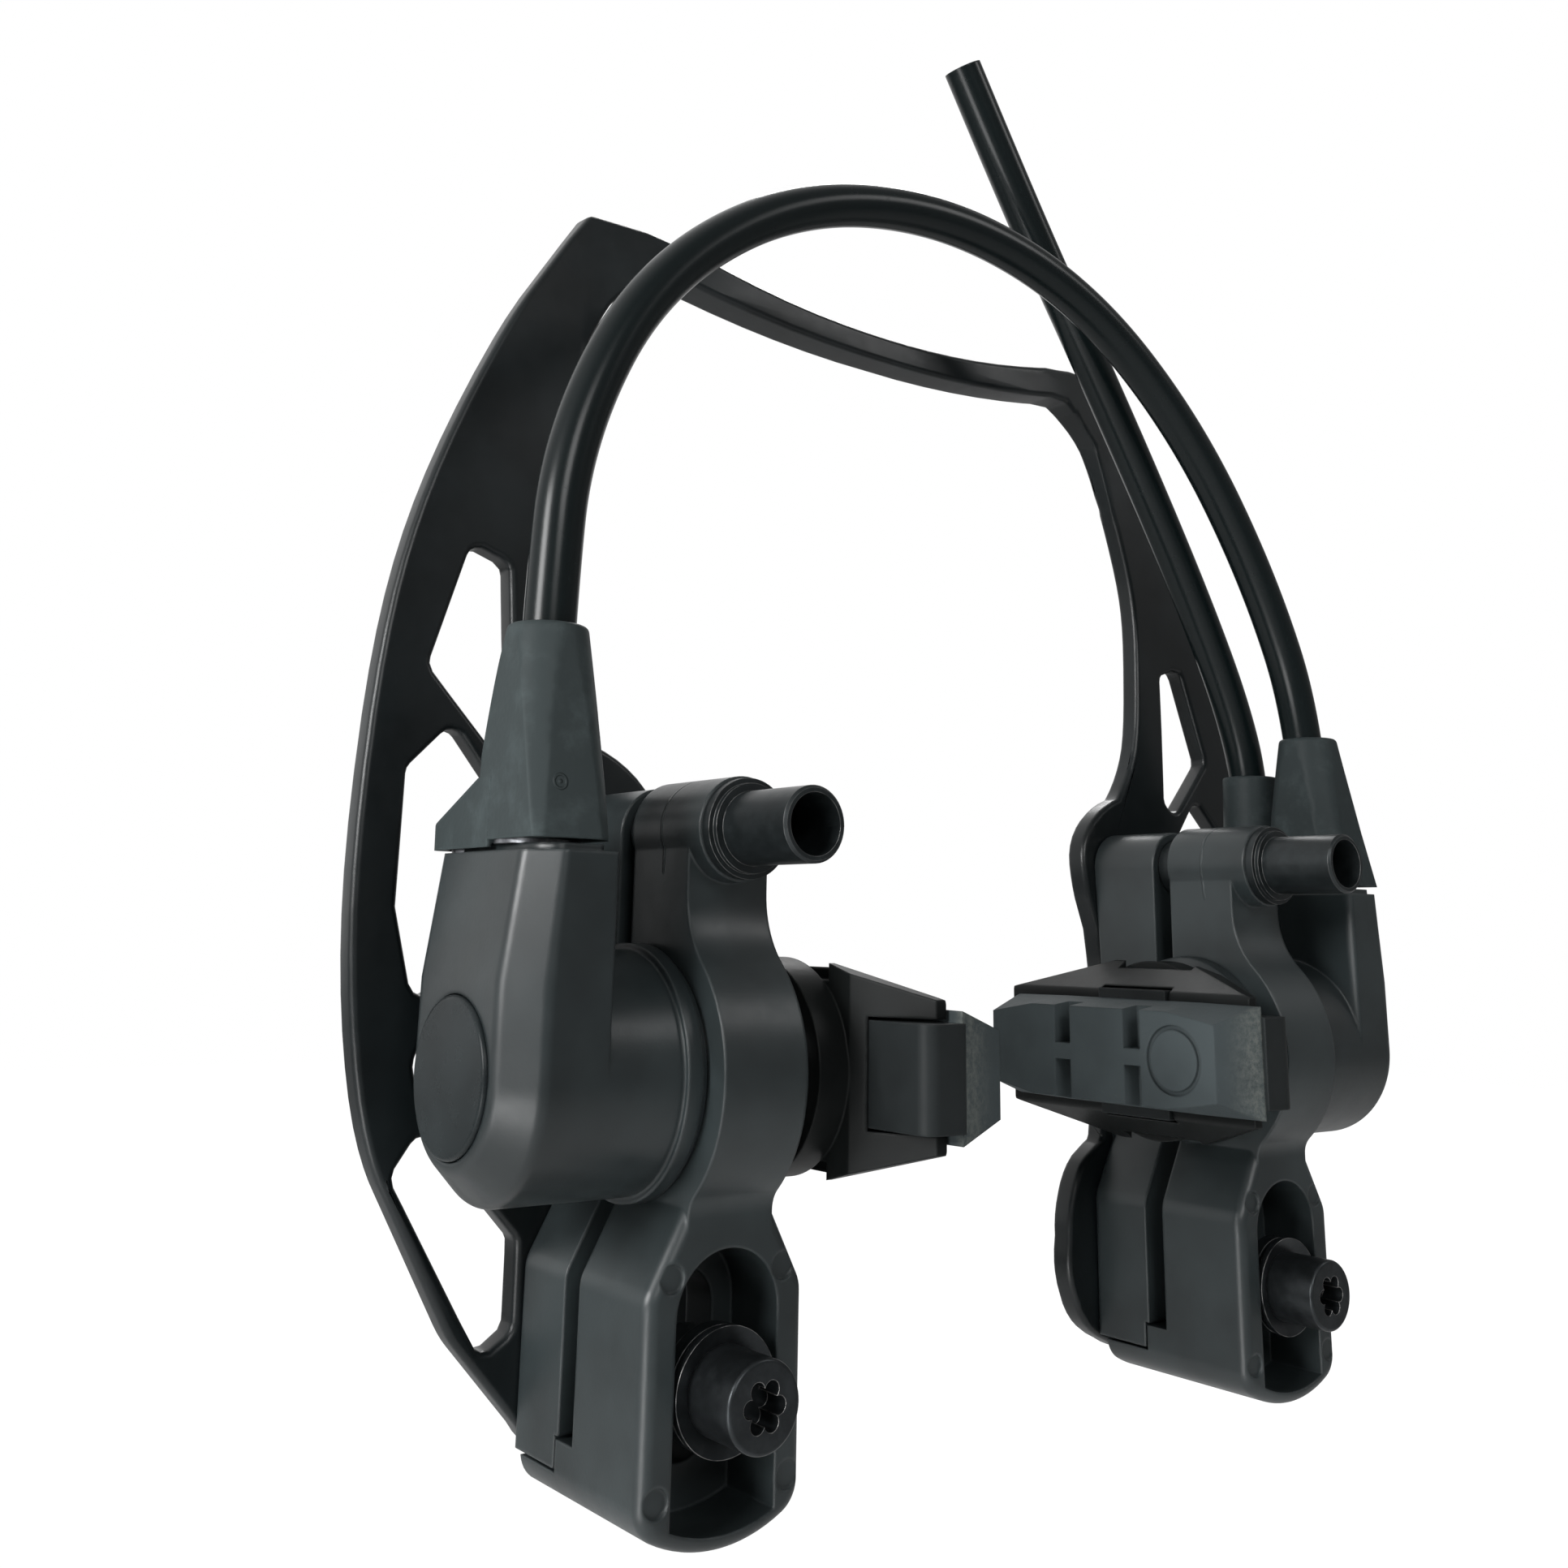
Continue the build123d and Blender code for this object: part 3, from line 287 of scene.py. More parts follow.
    def ring_mark(self, place: tuple[float, float, float]) -> Socket:
        """Small round ejector mark on a front face: a raised ring with a dot.

        Args:
            place: x, z and the ring's radius, in millimetres.

        Returns:
            The mark's height, from zero to one.
        """
        across, along, up = self.parts(self.place())
        side = across - place[0] * MM
        rise = up - place[1] * MM
        away = (side * side + rise * rise) ** 0.5
        ring = 1.0 - (away - place[2] * MM).size().ramp(0.05 * MM, 0.18 * MM)
        dot = 1.0 - away.ramp(0.08 * MM, 0.25 * MM)
        return (ring + dot) * (along < -0.5 * MM)

    def surface(self, **values: Input) -> None:
        """Close the tree with a Principled shader.

        Args:
            values: its inputs by name, with underscores for spaces.
        """
        shader = self.node("ShaderNodeBsdfPrincipled", None, **values)
        self.node("ShaderNodeOutputMaterial", None, shader)


@dataclass(frozen=True)
class Finish:
    """A surface finish. Each kind fills a node tree in its own way.

    The edge is the rounding of sharp edges in millimetres, and a scale is in cells a metre.
    """

    name: str
    color: Colour
    roughness: float
    edge: float = 0.25

    def material(self) -> bpy.types.Material:
        """Make the finish's material, or return the one already made."""
        made = bpy.data.materials.get(self.name)
        if made is None:
            made = bpy.data.materials.new(self.name)
            self.fill(Tree(made))
        return made

    def shade(self, factor: float, lift: float = 0.0) -> Colour:
        """The finish's colour multiplied by a factor and lifted."""
        return tuple(c * factor + lift for c in self.color)

    def fill(self, tree: Tree) -> None:
        """Fill the tree. Kinds of finish replace this."""
        raise NotImplementedError


@dataclass(frozen=True)
class MouldedPlastic(Finish):
    """Fibre-filled moulded plastic: satin, with a fine grain, a cloudy sheen and soft edges."""

    grain: float = 0.010
    grain_scale: float = 2600.0
    cloud_scale: float = 90.0
    patch_scale: float = 420.0
    specular: float = 0.13
    seam_y: float | None = None
    seam_low: float = 44.0
    ring: tuple[float, float, float] | None = None

    def fill(self, tree: Tree) -> None:
        """Cloudy colour and roughness with a fine grain; edges and the parting line painted a little paler
        in patches, a painted highlight.
        """
        clouds = tree.noise(self.cloud_scale, 3.0)
        patches = tree.noise(self.patch_scale, 4.0, 0.6)
        grain = tree.noise(self.grain_scale, 3.0, 0.7)
        rounded = tree.soft_edge(self.edge * MM)
        # Paler colour for a painted highlight on the edges and the parting line.
        rubbed_and_painted_highlight = self.shade(1.9, 0.010)
        tone = tree.mix(clouds.ramp(0.3, 0.7), self.shade(0.75), self.shade(1.3))
        # Edges painted paler in patches: a painted highlight.
        tone = tree.mix(tree.wear_and_highlight_edge(rounded) * patches.ramp(0.3, 0.75) * 0.7, tone, rubbed_and_painted_highlight)
        rough = self.roughness + (patches - 0.5) * 0.14 + (grain - 0.5) * 0.05
        normal = tree.bump(grain * 0.7 + patches * 0.3, self.grain * MM, rounded)
        if self.seam_y is not None:
            flash = tree.seam(self.seam_y, self.seam_low)
            # The parting line painted paler: a painted highlight along its ridge.
            tone = tree.mix(flash * patches.ramp(0.35, 0.6) * 0.6, tone, rubbed_and_painted_highlight)
            normal = tree.bump(flash * (0.4 + patches), 0.12 * MM, normal)
        if self.ring is not None:
            normal = tree.bump(tree.ring_mark(self.ring), 0.12 * MM, normal)
        tree.surface(Base_Color=tone, Roughness=rough, Normal=normal, Specular_IOR_Level=self.specular)


@dataclass(frozen=True)
class Rubber(Finish):
    """Soft moulded rubber: matte, with fine pits and pale worn patches."""

    patch_scale: float = 260.0
    pit_scale: float = 1900.0
    specular: float = 0.09
    ring: tuple[float, float, float] | None = None

    def fill(self, tree: Tree) -> None:
        """Matte tone with pits and pale worn patches, and every edge painted paler as a highlight."""
        # Random pale patches of real wear.
        rubbed_and_painted_highlight = tree.noise(self.patch_scale, 5.0, 0.65)
        pits = tree.specks(self.pit_scale)
        rounded = tree.soft_edge(self.edge * MM)
        tone = tree.mix(rubbed_and_painted_highlight.ramp(0.45, 0.8), self.color, self.shade(1.6))
        # Every edge painted paler: a painted highlight.
        tone = tree.mix(tree.wear_and_highlight_edge(rounded) * 0.6, tone, self.shade(2.2))
        rough = self.roughness + (rubbed_and_painted_highlight - 0.5) * 0.16
        normal = tree.bump(pits * 0.5 + rubbed_and_painted_highlight * 0.5, 0.02 * MM, rounded)
        if self.ring is not None:
            normal = tree.bump(tree.ring_mark(self.ring), 0.15 * MM, normal)
        tree.surface(Base_Color=tone, Roughness=rough, Normal=normal, Specular_IOR_Level=self.specular)


@dataclass(frozen=True)
class PadCompound(Finish):
    """Pressed friction compound: dark grey with mineral specks, sandier and paler at its cut ends."""

    speck: Colour = (0.080, 0.095, 0.095)
    cut_end: Colour = (0.105, 0.115, 0.108)
    cut_end_y: float = -35.5
    sand_scale: float = 1500.0
    cloud_scale: float = 150.0
    specular: float = 0.08

    def fill(self, tree: Tree) -> None:
        """Specked tone with a sandy surface."""
        _, along, _ = tree.parts(tree.place())
        sand = tree.noise(self.sand_scale, 5.0, 0.75)
        wide = tree.noise(self.cloud_scale, 2.0)
        rounded = tree.soft_edge(self.edge * MM)
        cut = (self.cut_end_y * MM - along).ramp(-0.6 * MM, 0.6 * MM)
        tone = tree.mix(sand.ramp(0.6, 0.75) * 0.5, self.color, self.speck)
        tone = tree.mix(wide.ramp(0.3, 0.75) * 0.4, tone, self.shade(0.55))
        tone = tree.mix(cut * sand.ramp(0.3, 0.7), tone, self.cut_end)
        rough = self.roughness + (sand - 0.5) * 0.2
        normal = tree.bump(sand, 0.03 * MM, rounded)
        tree.surface(Base_Color=tone, Roughness=rough, Normal=normal, Specular_IOR_Level=self.specular)


@dataclass(frozen=True)
class GlossHose(Finish):
    """Smooth extruded hose jacket: glossy black with faint drawing waves."""

    wave_scale: float = 130.0
    dust_scale: float = 900.0
    specular: float = 0.2

    def fill(self, tree: Tree) -> None:
        """Gloss with a little dust."""
        waves = tree.noise(self.wave_scale, 2.0)
        dust = tree.noise(self.dust_scale, 4.0, 0.7)
        rounded = tree.soft_edge(self.edge * MM)
        rough = self.roughness + dust.ramp(0.55, 0.9) * 0.10
        tone = tree.mix(dust.ramp(0.6, 0.95) * 0.5, self.color, self.shade(2.5))
        tree.surface(Base_Color=tone, Roughness=rough, Normal=tree.bump(waves, 0.02 * MM, rounded),
                     Specular_IOR_Level=self.specular)


@dataclass(frozen=True)
class BlackMetal(Finish):
    """Blackened or anodised metal: dark, with a satin grain and edges worn bright."""

    metallic: float = 0.75
    grain_scale: float = 3200.0
    patch_scale: float = 700.0
    wear: float = 0.75
    bare: Colour = (0.42, 0.41, 0.40)

    def fill(self, tree: Tree) -> None:
        """Fine grain over dark metal, with the coating worn off the edges."""
        grain = tree.noise(self.grain_scale, 3.0, 0.6)
        patches = tree.noise(self.patch_scale, 4.0, 0.6)
        rounded = tree.soft_edge(self.edge * MM)
        worn = tree.wear_and_highlight_edge(rounded) * patches.ramp(0.3, 0.6) * self.wear
        tone = tree.mix(patches.ramp(0.35, 0.8) * 0.6, self.color, self.shade(1.8))
        tone = tree.mix(worn, tone, self.bare)
        rough = self.roughness + (patches - 0.5) * 0.2
        tree.surface(Base_Color=tone, Roughness=rough, Metallic=self.metallic,
                     Normal=tree.bump(grain, 0.006 * MM, rounded))


@dataclass(frozen=True)
class BrightMetal(Finish):
    """Plain turned metal with a faint lathe grain and darker stains."""

    grain_scale: float = 2600.0
    stain_scale: float = 600.0

    def fill(self, tree: Tree) -> None:
        """Turned grain over bright metal."""
        grain = tree.noise(self.grain_scale, 3.0, 0.6)
        stain = tree.noise(self.stain_scale, 4.0, 0.6)
        rounded = tree.soft_edge(self.edge * MM)
        rough = self.roughness + (grain - 0.5) * 0.15
        tone = tree.mix(stain.ramp(0.35, 0.75), self.shade(0.35), self.color)
        tree.surface(Base_Color=tone, Roughness=rough, Metallic=1.0,
                     Normal=tree.bump(grain, 0.004 * MM, rounded))


CLAMP = MouldedPlastic("clamp_satin", (0.0180, 0.0232, 0.0244), 0.36, edge=0.45, specular=0.40,
                       seam_y=-19.0)
HOUSING = MouldedPlastic("housing_satin", (0.0135, 0.0180, 0.0191), 0.34, edge=0.45, specular=0.40)
BOOSTER = MouldedPlastic("booster_satin", (0.0050, 0.0070, 0.0077), 0.32, edge=0.25, grain=0.006,
                         specular=0.30)
HOLDER = MouldedPlastic("holder_satin", (0.0065, 0.0075, 0.0075), 0.38, edge=0.35, specular=0.10)
CARRIER = MouldedPlastic("carrier_matte", (0.0110, 0.0130, 0.0135), 0.48, edge=0.3)
DISC = MouldedPlastic("disc_plain", (0.0130, 0.0165, 0.0175), 0.26, edge=0.2, grain=0.004)
PAD = PadCompound("pad_pressed", (0.0500, 0.0610, 0.0640), 0.6, edge=0.35)
BOOT = Rubber("boot_soft", (0.0220, 0.0280, 0.0290), 0.5, edge=0.6)
# The left boot is the same rubber as the right one, drawn lighter: painted light. It also carries the ring
# mark.
LEFT_BOOT_PAINTED_LIGHTER = Rubber("left_boot_painted_lighter", (0.0310, 0.0390, 0.0400), 0.5, edge=0.6,
                   ring=(-59.8, 50.8, 0.62))
SEAL = Rubber("seal_soft", (0.008, 0.008, 0.009), 0.5)
HOSE = GlossHose("hose_gloss", (0.0035, 0.0060, 0.0064), 0.24, edge=0.3)
STEEL = BlackMetal("bolt_black", (0.0220, 0.0250, 0.0270), 0.34, edge=0.12)
SLEEVE = BlackMetal("sleeve_black", (0.0110, 0.0140, 0.0150), 0.40, edge=0.12, metallic=0.5,
                    wear=0.35)
FITTING = BrightMetal("fitting_dull", (0.30, 0.31, 0.33), 0.34, edge=0.15)
PISTON = BrightMetal("piston_plain", (0.55, 0.56, 0.58), 0.35, edge=0.15)

NODE_FINISH = {
    "front_clamp": CLAMP, "rear_clamp": CLAMP, "clamp_sleeve": SLEEVE, "mounting_bolt": STEEL,
    "dished_washer": STEEL, "spacer_bush": SLEEVE, "end_disc": DISC,
    "piston": PISTON, "piston_seal": SEAL, "pad_holder": HOLDER, "pad_carrier": CARRIER,
    "brake_pad": PAD,
}


def dress(node: str, finish: Finish) -> None:
    """Give a carried-over node its finish.

    Args:
        node: the node's name.
        finish: the finish to put in every material slot.
    """
    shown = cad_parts[node]
    for slot in shown.material_slots:
        slot.material = finish.material()
    if not shown.material_slots:
        shown.data.materials.append(finish.material())
    log.info("dressed %s with %s", node, finish.name)


@dataclass
class Moulding:
    """A carried-over node remade as one closed moulding, with real rounded edges and, if need be, draft.

    The edge is the rounding's width, folds are the heights and cross folds the places across where the
    faces are cut before they are shaped, and shortest is the least length that an edge keeps, all in
    millimetres. The angle is in degrees.
    """

    node: str
    piece: str
    finish: Finish
    slot: Slot
    edge: float
    sharp_angle: float = 32.0
    flat_angle: float = 0.8
    edge_steps: int = 3
    folds: tuple[float, ...] = ()
    cross_folds: tuple[float, ...] = ()
    shortest: float = 0.0
    hold_small: bool = True

    def build(self) -> None:
        """Copy, shape, round and dress the moulding, in the place of its node."""
        made = self.merged_copy()
        self.tidy_faces()
        self.shape(made)
        if self.edge > 0:
            self.round_edges(made)
        bpy.ops.object.shade_smooth_by_angle(angle=math.radians(self.sharp_angle))
        self.hold_flats(made)
        made.data.materials.clear()
        made.data.materials.append(self.finish.material())
        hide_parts(self.node)
        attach(made, BODY)
        log.info("moulded %s", self.piece)

    def merged_copy(self) -> bpy.types.Object:
        """Copy the node's loose triangles and merge them into one closed skin."""
        bpy.ops.object.select_all(action="DESELECT")
        made = bpy.data.objects.new(self.piece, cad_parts[self.node].data.copy())
        bpy.context.scene.collection.objects.link(made)
        bpy.context.view_layer.objects.active = made
        made.select_set(True)
        if made.data.has_custom_normals:
            bpy.ops.mesh.customdata_custom_splitnormals_clear()
        bpy.ops.object.mode_set(mode="EDIT")
        bpy.ops.mesh.select_all(action="SELECT")
        bpy.ops.mesh.remove_doubles(threshold=0.001 * MM)
        bpy.ops.mesh.mark_sharp(clear=True)
        bpy.ops.object.mode_set(mode="OBJECT")
        return made

    def shape(self, made: bpy.types.Object) -> None:
        """Move every point to its place on the moulding, and join those too close for a rounded edge."""
        for point in made.data.vertices:
            point.co = self.place(point.co / MM) * MM
        if self.shortest > 0:
            bpy.ops.object.mode_set(mode="EDIT")
            bpy.ops.mesh.select_all(action="SELECT")
            bpy.ops.mesh.remove_doubles(threshold=self.shortest * MM)
            bpy.ops.object.mode_set(mode="OBJECT")

    def place(self, point: Vector) -> Vector:
        """Where a point of the node lies on the moulding, in millimetres. Kinds of moulding replace this."""
        return point

    def tidy_faces(self) -> None:
        """Join the flat faces' triangles, cut them where the shape folds, and turn every face outwards."""
        bpy.ops.object.mode_set(mode="EDIT")
        bpy.ops.mesh.select_all(action="SELECT")
        bpy.ops.mesh.dissolve_limited(angle_limit=math.radians(self.flat_angle))
        cuts = [((0.0, 0.0, height * MM), (0.0, 0.0, 1.0)) for height in self.folds]
        cuts += [((across * MM, 0.0, 0.0), (1.0, 0.0, 0.0)) for across in self.cross_folds]
        for point, direction in cuts:
            bpy.ops.mesh.select_all(action="SELECT")
            bpy.ops.mesh.bisect(plane_co=point, plane_no=direction)
        bpy.ops.mesh.select_all(action="SELECT")
        bpy.ops.mesh.normals_make_consistent(inside=False)
        bpy.ops.object.mode_set(mode="OBJECT")

    def round_edges(self, made: bpy.types.Object) -> None:
        """Round the sharp edges with a Bevel modifier."""
        bevel = made.modifiers.new("rounded_edges", "BEVEL")
        bevel.width = self.edge * MM
        bevel.segments = self.edge_steps
        bevel.limit_method = "ANGLE"
        bevel.angle_limit = math.radians(self.sharp_angle)
        bevel.use_clamp_overlap = self.hold_small
        bpy.ops.object.modifier_apply(modifier=bevel.name)

    def hold_flats(self, made: bpy.types.Object) -> None:
        """Keep the flat faces flat in the shading beside their rounded edges."""
        weigh = made.modifiers.new("flat_faces", "WEIGHTED_NORMAL")
        weigh.keep_sharp = True
        bpy.ops.object.modifier_apply(modifier=weigh.name)


def clamp01(value: float) -> float:
    """A value held between zero and one."""
    return min(max(value, 0.0), 1.0)


@dataclass
class SideMoulding(Moulding):
    """A moulding of one side, shaped by its distance outwards from the boss's middle."""

    def place(self, point: Vector) -> Vector:
        """Where a point of the node lies on the moulding, in millimetres."""
        side = -1.0 if point.x < 0 else 1.0
        out, along = self.drafted(abs(point.x) - BOSS_X, point.y, point.z)
        return Vector((side * (BOSS_X + out), along, point.z))

    def drafted(self, out: float, along: float, up: float) -> tuple[float, float]:
        """New outward distance and y of a point. Kinds of moulding replace this."""
        return out, along


def between(table: Table, at: float) -> float:
    """Read a value from a table of places and values, in straight steps between them.

    Args:
        table: pairs of place and value, with rising places.
        at: the place to read at.

    Returns:
        The value there.
    """
    if at <= table[0][0]:
        return table[0][1]
    for (low, first), (high, last) in zip(table, table[1:]):
        if at <= high:
            return first + (last - first) * (at - low) / (high - low)
    return table[-1][1]


@dataclass
class BoosterArch(Moulding):
    """Arch plate with a rounded rim, slim legs, a deep thin bar and squarish feet.

    Tables pair a height with a value. The shin's values multiply the foot's reach towards the wheel, and
    the others are distances across in millimetres, as the other fields are.
    """

    inner_edge: Table = (
        (57.5, 41.0), (64.5, 44.8), (74.5, 46.4), (86.0, 46.8), (97.0, 44.3), (108.5, 39.4), (112.8, 33.5))
    outer_edge: Table = ((54.0, 67.5), (72.0, 65.4), (88.0, 60.8), (105.0, 53.3), (120.0, 44.3))
    slim_from: float = 50.0
    slimming: Table = (
        (50.0, 0.0), (57.5, 0.5), (64.5, 0.8), (86.0, 1.0), (100.0, 1.4), (109.0, 1.8), (113.0, 1.5),
        (116.0, 0.5))
    slimming_fade: float = 1.5
    shin: Table = (
        (-12.0, 1.3), (-8.5, 1.22), (-4.0, 1.05), (3.0, 0.94), (8.0, 0.98), (12.0, 1.05), (16.0, 0.8),
        (21.0, 0.25), (40.0, 0.3), (47.0, 0.62), (52.0, 0.9), (55.0, 1.0))
    shin_top: float = 55.0
    slot_side: float = 3.4
    bend_z: float = 14.0
    lean_degrees: float = 5.0
    plate_middle_y: float = -1.5
    top_z: float = 120.0
    lean_back: float = -3.6
    bar_low: float = 100.0
    bar_ramp: float = 8.0
    bar_middle: float = 111.8
    bar_dip: float = 3.0
    bar_half: float = 33.0
    bar_rise: tuple[float, float] = (1.8, 1.0)
    bar_depth: float = 2.0
    bar_end: float = 30.0
    bar_blend: float = 14.0

    def place(self, point: Vector) -> Vector:
        """Where a point of the plate lies on the moulding, in millimetres."""
        side = -1.0 if point.x < 0 else 1.0
        reach, along, up = abs(point.x), point.y, point.z
        inwards = BOSS_X - reach
        if up < self.shin_top and inwards > self.slot_side:
            reach = BOSS_X - self.slot_side - (inwards - self.slot_side) * between(self.shin, up)
        if up > self.slim_from:
            inner, outer = between(self.inner_edge, up), between(self.outer_edge, up)
            across = clamp01((reach - inner) / (outer - inner))
            reach += between(self.slimming, up) * (1 - across) ** self.slimming_fade * clamp01(reach / inner)
        if up > self.bar_low:
            bar = 1 - clamp01((abs(point.x) - self.bar_end) / self.bar_blend)
            bar *= clamp01((up - self.bar_low) / self.bar_ramp)
            up += self.bar_rise[self.is_upper(point)] * bar
            along -= self.bar_depth * bar * self.is_front(point)
        along += self.lean_back * clamp01((point.z - self.bend_z) / (self.top_z - self.bend_z))
        return Vector((side * reach, along, up))

    def is_upper(self, point: Vector) -> bool:
        """Whether a point of the bar is above the bar's middle line, which rises towards its ends."""
        return point.z > self.bar_middle + self.bar_dip * (point.x / self.bar_half) ** 2

    def is_front(self, point: Vector) -> bool:
        """Whether a point of the bar is on the plate's front face."""
        lean = math.tan(math.radians(self.lean_degrees))
        return point.y < (point.z - self.bend_z) * lean + self.plate_middle_y


@dataclass
class CylinderHousing(SideMoulding):
    """Cylinder and elbow in one moulding, whose column leans in a little towards its top."""

    inner_wall: float = 11.6
    wall_margin: float = 0.3
    inner_step: float = 2.6
    inner_blend: float = 4.4
    lean_from: float = 34.0
    top: float = 45.0
    lean: float = 1.4
    lean_out: float = 18.0
    lean_blend: float = 4.0

    def drafted(self, out: float, along: float, up: float) -> tuple[float, float]:
        """Step the inner wall outwards, and lean the outer wall inwards above the disc."""
        new = out
        if out > self.inner_wall - self.wall_margin:
            new += self.inner_step * (1 - clamp01((out - self.inner_wall) / self.inner_blend))
        if up > self.lean_from:
            rise = (up - self.lean_from) / (self.top - self.lean_from)
            new -= self.lean * rise * clamp01((out - self.lean_out) / self.lean_blend)
        return new, along


@dataclass
class HoseBoot(SideMoulding):
    """Rubber boot that narrows from the housing's port to the hose, with a lug on the left one."""

    base_z: float = 46.0
    top_z: float = 65.5
    taper_ease: float = 0.7
    back: float = 5.2
    lug_back: float = 13.5
    base_scale: tuple[float, float] = (0.68, 0.76)
    front_scale: float = 0.93
    back_scale: float = 0.8
    top_scale: float = 0.83

    def drafted(self, out: float, along: float, up: float) -> tuple[float, float]:
        """Draw a point towards the hose's line, more at the base's sides than at its front."""
        height = clamp01((up - self.base_z) / (self.top_z - self.base_z)) ** self.taper_ease
        side, depth = out - PORT_OUT, along - PORT_Y
        base = self.base_scale[0] if side < 0 else self.base_scale[1]
        side *= base + (self.top_scale - base) * height
        if depth < 0:
            depth *= self.front_scale + (self.top_scale - self.front_scale) * height
        elif depth < self.back:
            depth *= self.back_scale
        else:
            start = self.back * self.back_scale
            depth = start + (depth - self.back) * (self.lug_back - start) / (self.lug_back - self.back)
        return PORT_OUT + side, PORT_Y + depth


@dataclass
class HoseFitting(SideMoulding):
    """Small metal fitting whose collar glints in the gap under the boot."""

    narrowing: float = 0.84

    def drafted(self, out: float, along: float, up: float) -> tuple[float, float]:
        """Draw a point towards the fitting's own line."""
        return PORT_OUT + (out - PORT_OUT) * self.narrowing, PORT_Y + (along - PORT_Y) * self.narrowing


@dataclass
class Mouldings:
    """Every piece that is remade as a moulding; the arch and the boots get real rounded edges."""

    arch_edge: float = 0.7
    arch_shortest: float = 0.5
    arch_folds: tuple[float, ...] = (
        -8.5, -4.0, 3.0, 8.0, 12.0, 16.0, 21.0, 30.0, 40.0, 47.0, 52.0, 61.0, 68.0, 73.0, 82.0, 90.0, 97.0,
        104.0, 108.0, 112.0, 116.0)
    arch_cross_folds: tuple[float, ...] = (
        -44.0, -40.0, -36.0, -30.0, -15.0, 0.0, 15.0, 30.0, 36.0, 40.0, 44.0)
    boot_edge: float = 0.5
    supply_boot_edge: float = 0.4

    def build(self) -> None:
        """Make them all."""
        BoosterArch("booster_arch", "booster_moulding", BOOSTER, Slot.BOOSTER, self.arch_edge,
                    folds=self.arch_folds, cross_folds=self.arch_cross_folds, shortest=self.arch_shortest,
                    hold_small=False).build()
        for side, boot in zip(SIDES, (LEFT_BOOT_PAINTED_LIGHTER, BOOT)):
            CylinderHousing(f"{side}_cylinder", f"{side}_housing_moulding", HOUSING, Slot.HOUSING, 0.0,
                            folds=(CylinderHousing.lean_from,)).build()
            HoseBoot(f"{side}_hose_boot", f"{side}_boot_moulding", boot, Slot.BOOT, self.boot_edge).build()
            HoseFitting(f"{side}_hose_fitting", f"{side}_fitting_turned", FITTING, Slot.FITTING, 0.0).build()
        Moulding("supply_boot", "supply_boot_moulding", BOOT, Slot.BOOT, self.supply_boot_edge).build()


@dataclass
class Hoses:
    """The crossover hose between the cylinders and the supply hose that leads away, in millimetres."""

    diameter: float = 5.0
    bevel_steps: int = 12
    curve_steps: int = 16
    crossover: Route = (
        (-58.5, -19.4, 50.0), (-58.5, -19.4, 67.0), (-57.4, -19.2, 85.0), (-48.2, -18.8, 104.0),
        (-29.6, -18.4, 118.4), (-6.0, -18.2, 123.8), (17.2, -18.4, 119.4), (36.6, -18.6, 105.6),
        (50.4, -19.0, 86.6), (58.5, -19.4, 67.0), (58.5, -19.4, 50.0),
    )
    supply: Route = (
        (58.5, -9.8, 50.0), (58.5, -9.8, 60.0), (55.2, -9.9, 70.5), (48.2, -10.0, 83.5),
        (38.0, -10.2, 99.5), (26.0, -10.4, 117.0), (15.0, -10.5, 132.6), (3.6, -10.5, 151.0),
    )

    def strand(self, name: str, points: Route) -> bpy.types.Object:
        """Make one hose as a smooth curve of its route's points.

        Args:
            name: the piece's name.
            points: the route, in millimetres.

        Returns:
            The curve's object.
        """
        curve = bpy.data.curves.new(name, "CURVE")
        curve.dimensions = "3D"
        spline = curve.splines.new("NURBS")
        spline.points.add(len(points) - 1)
        for point, place in zip(spline.points, points):
            point.co = (*(c * MM for c in place), 1.0)
        spline.order_u = 3
        spline.use_endpoint_u = True
        spline.resolution_u = self.curve_steps
        curve.bevel_depth = self.diameter / 2 * MM
        curve.bevel_resolution = self.bevel_steps
        curve.use_fill_caps = True
        hose = bpy.data.objects.new(name, curve)
        bpy.context.scene.collection.objects.link(hose)
        hose.data.materials.append(HOSE.material())
        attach(hose, BODY)
        return hose

    def build(self) -> None:
        """Make both hoses in the place of their plain solids."""
        crossover = self.strand("crossover_hose_line", self.crossover)
        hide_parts("crossover_hose")
        supply = self.strand("supply_hose_line", self.supply)
        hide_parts("supply_hose")
        log.info("made two hoses")


@dataclass(frozen=True)
class Lamp:
    """A soft square lamp: its place and side in metres, its power in watts."""

    name: str
    place: tuple[float, float, float]
    side: float
    power: float
    aim: tuple[float, float, float] = (0.0, -0.015, 0.055)

    def build(self) -> None:
        """Add the lamp, aimed at the brake."""
        light = bpy.data.lights.new(self.name, "AREA")
        light.shape = "SQUARE"
        light.size = self.side
        light.energy = self.power
        lamp = bpy.data.objects.new(self.name, light)
        bpy.context.scene.collection.objects.link(lamp)
        lamp.location = self.place
        lamp.rotation_euler = (Vector(self.aim) - Vector(self.place)).to_track_quat("-Z", "Y").to_euler()


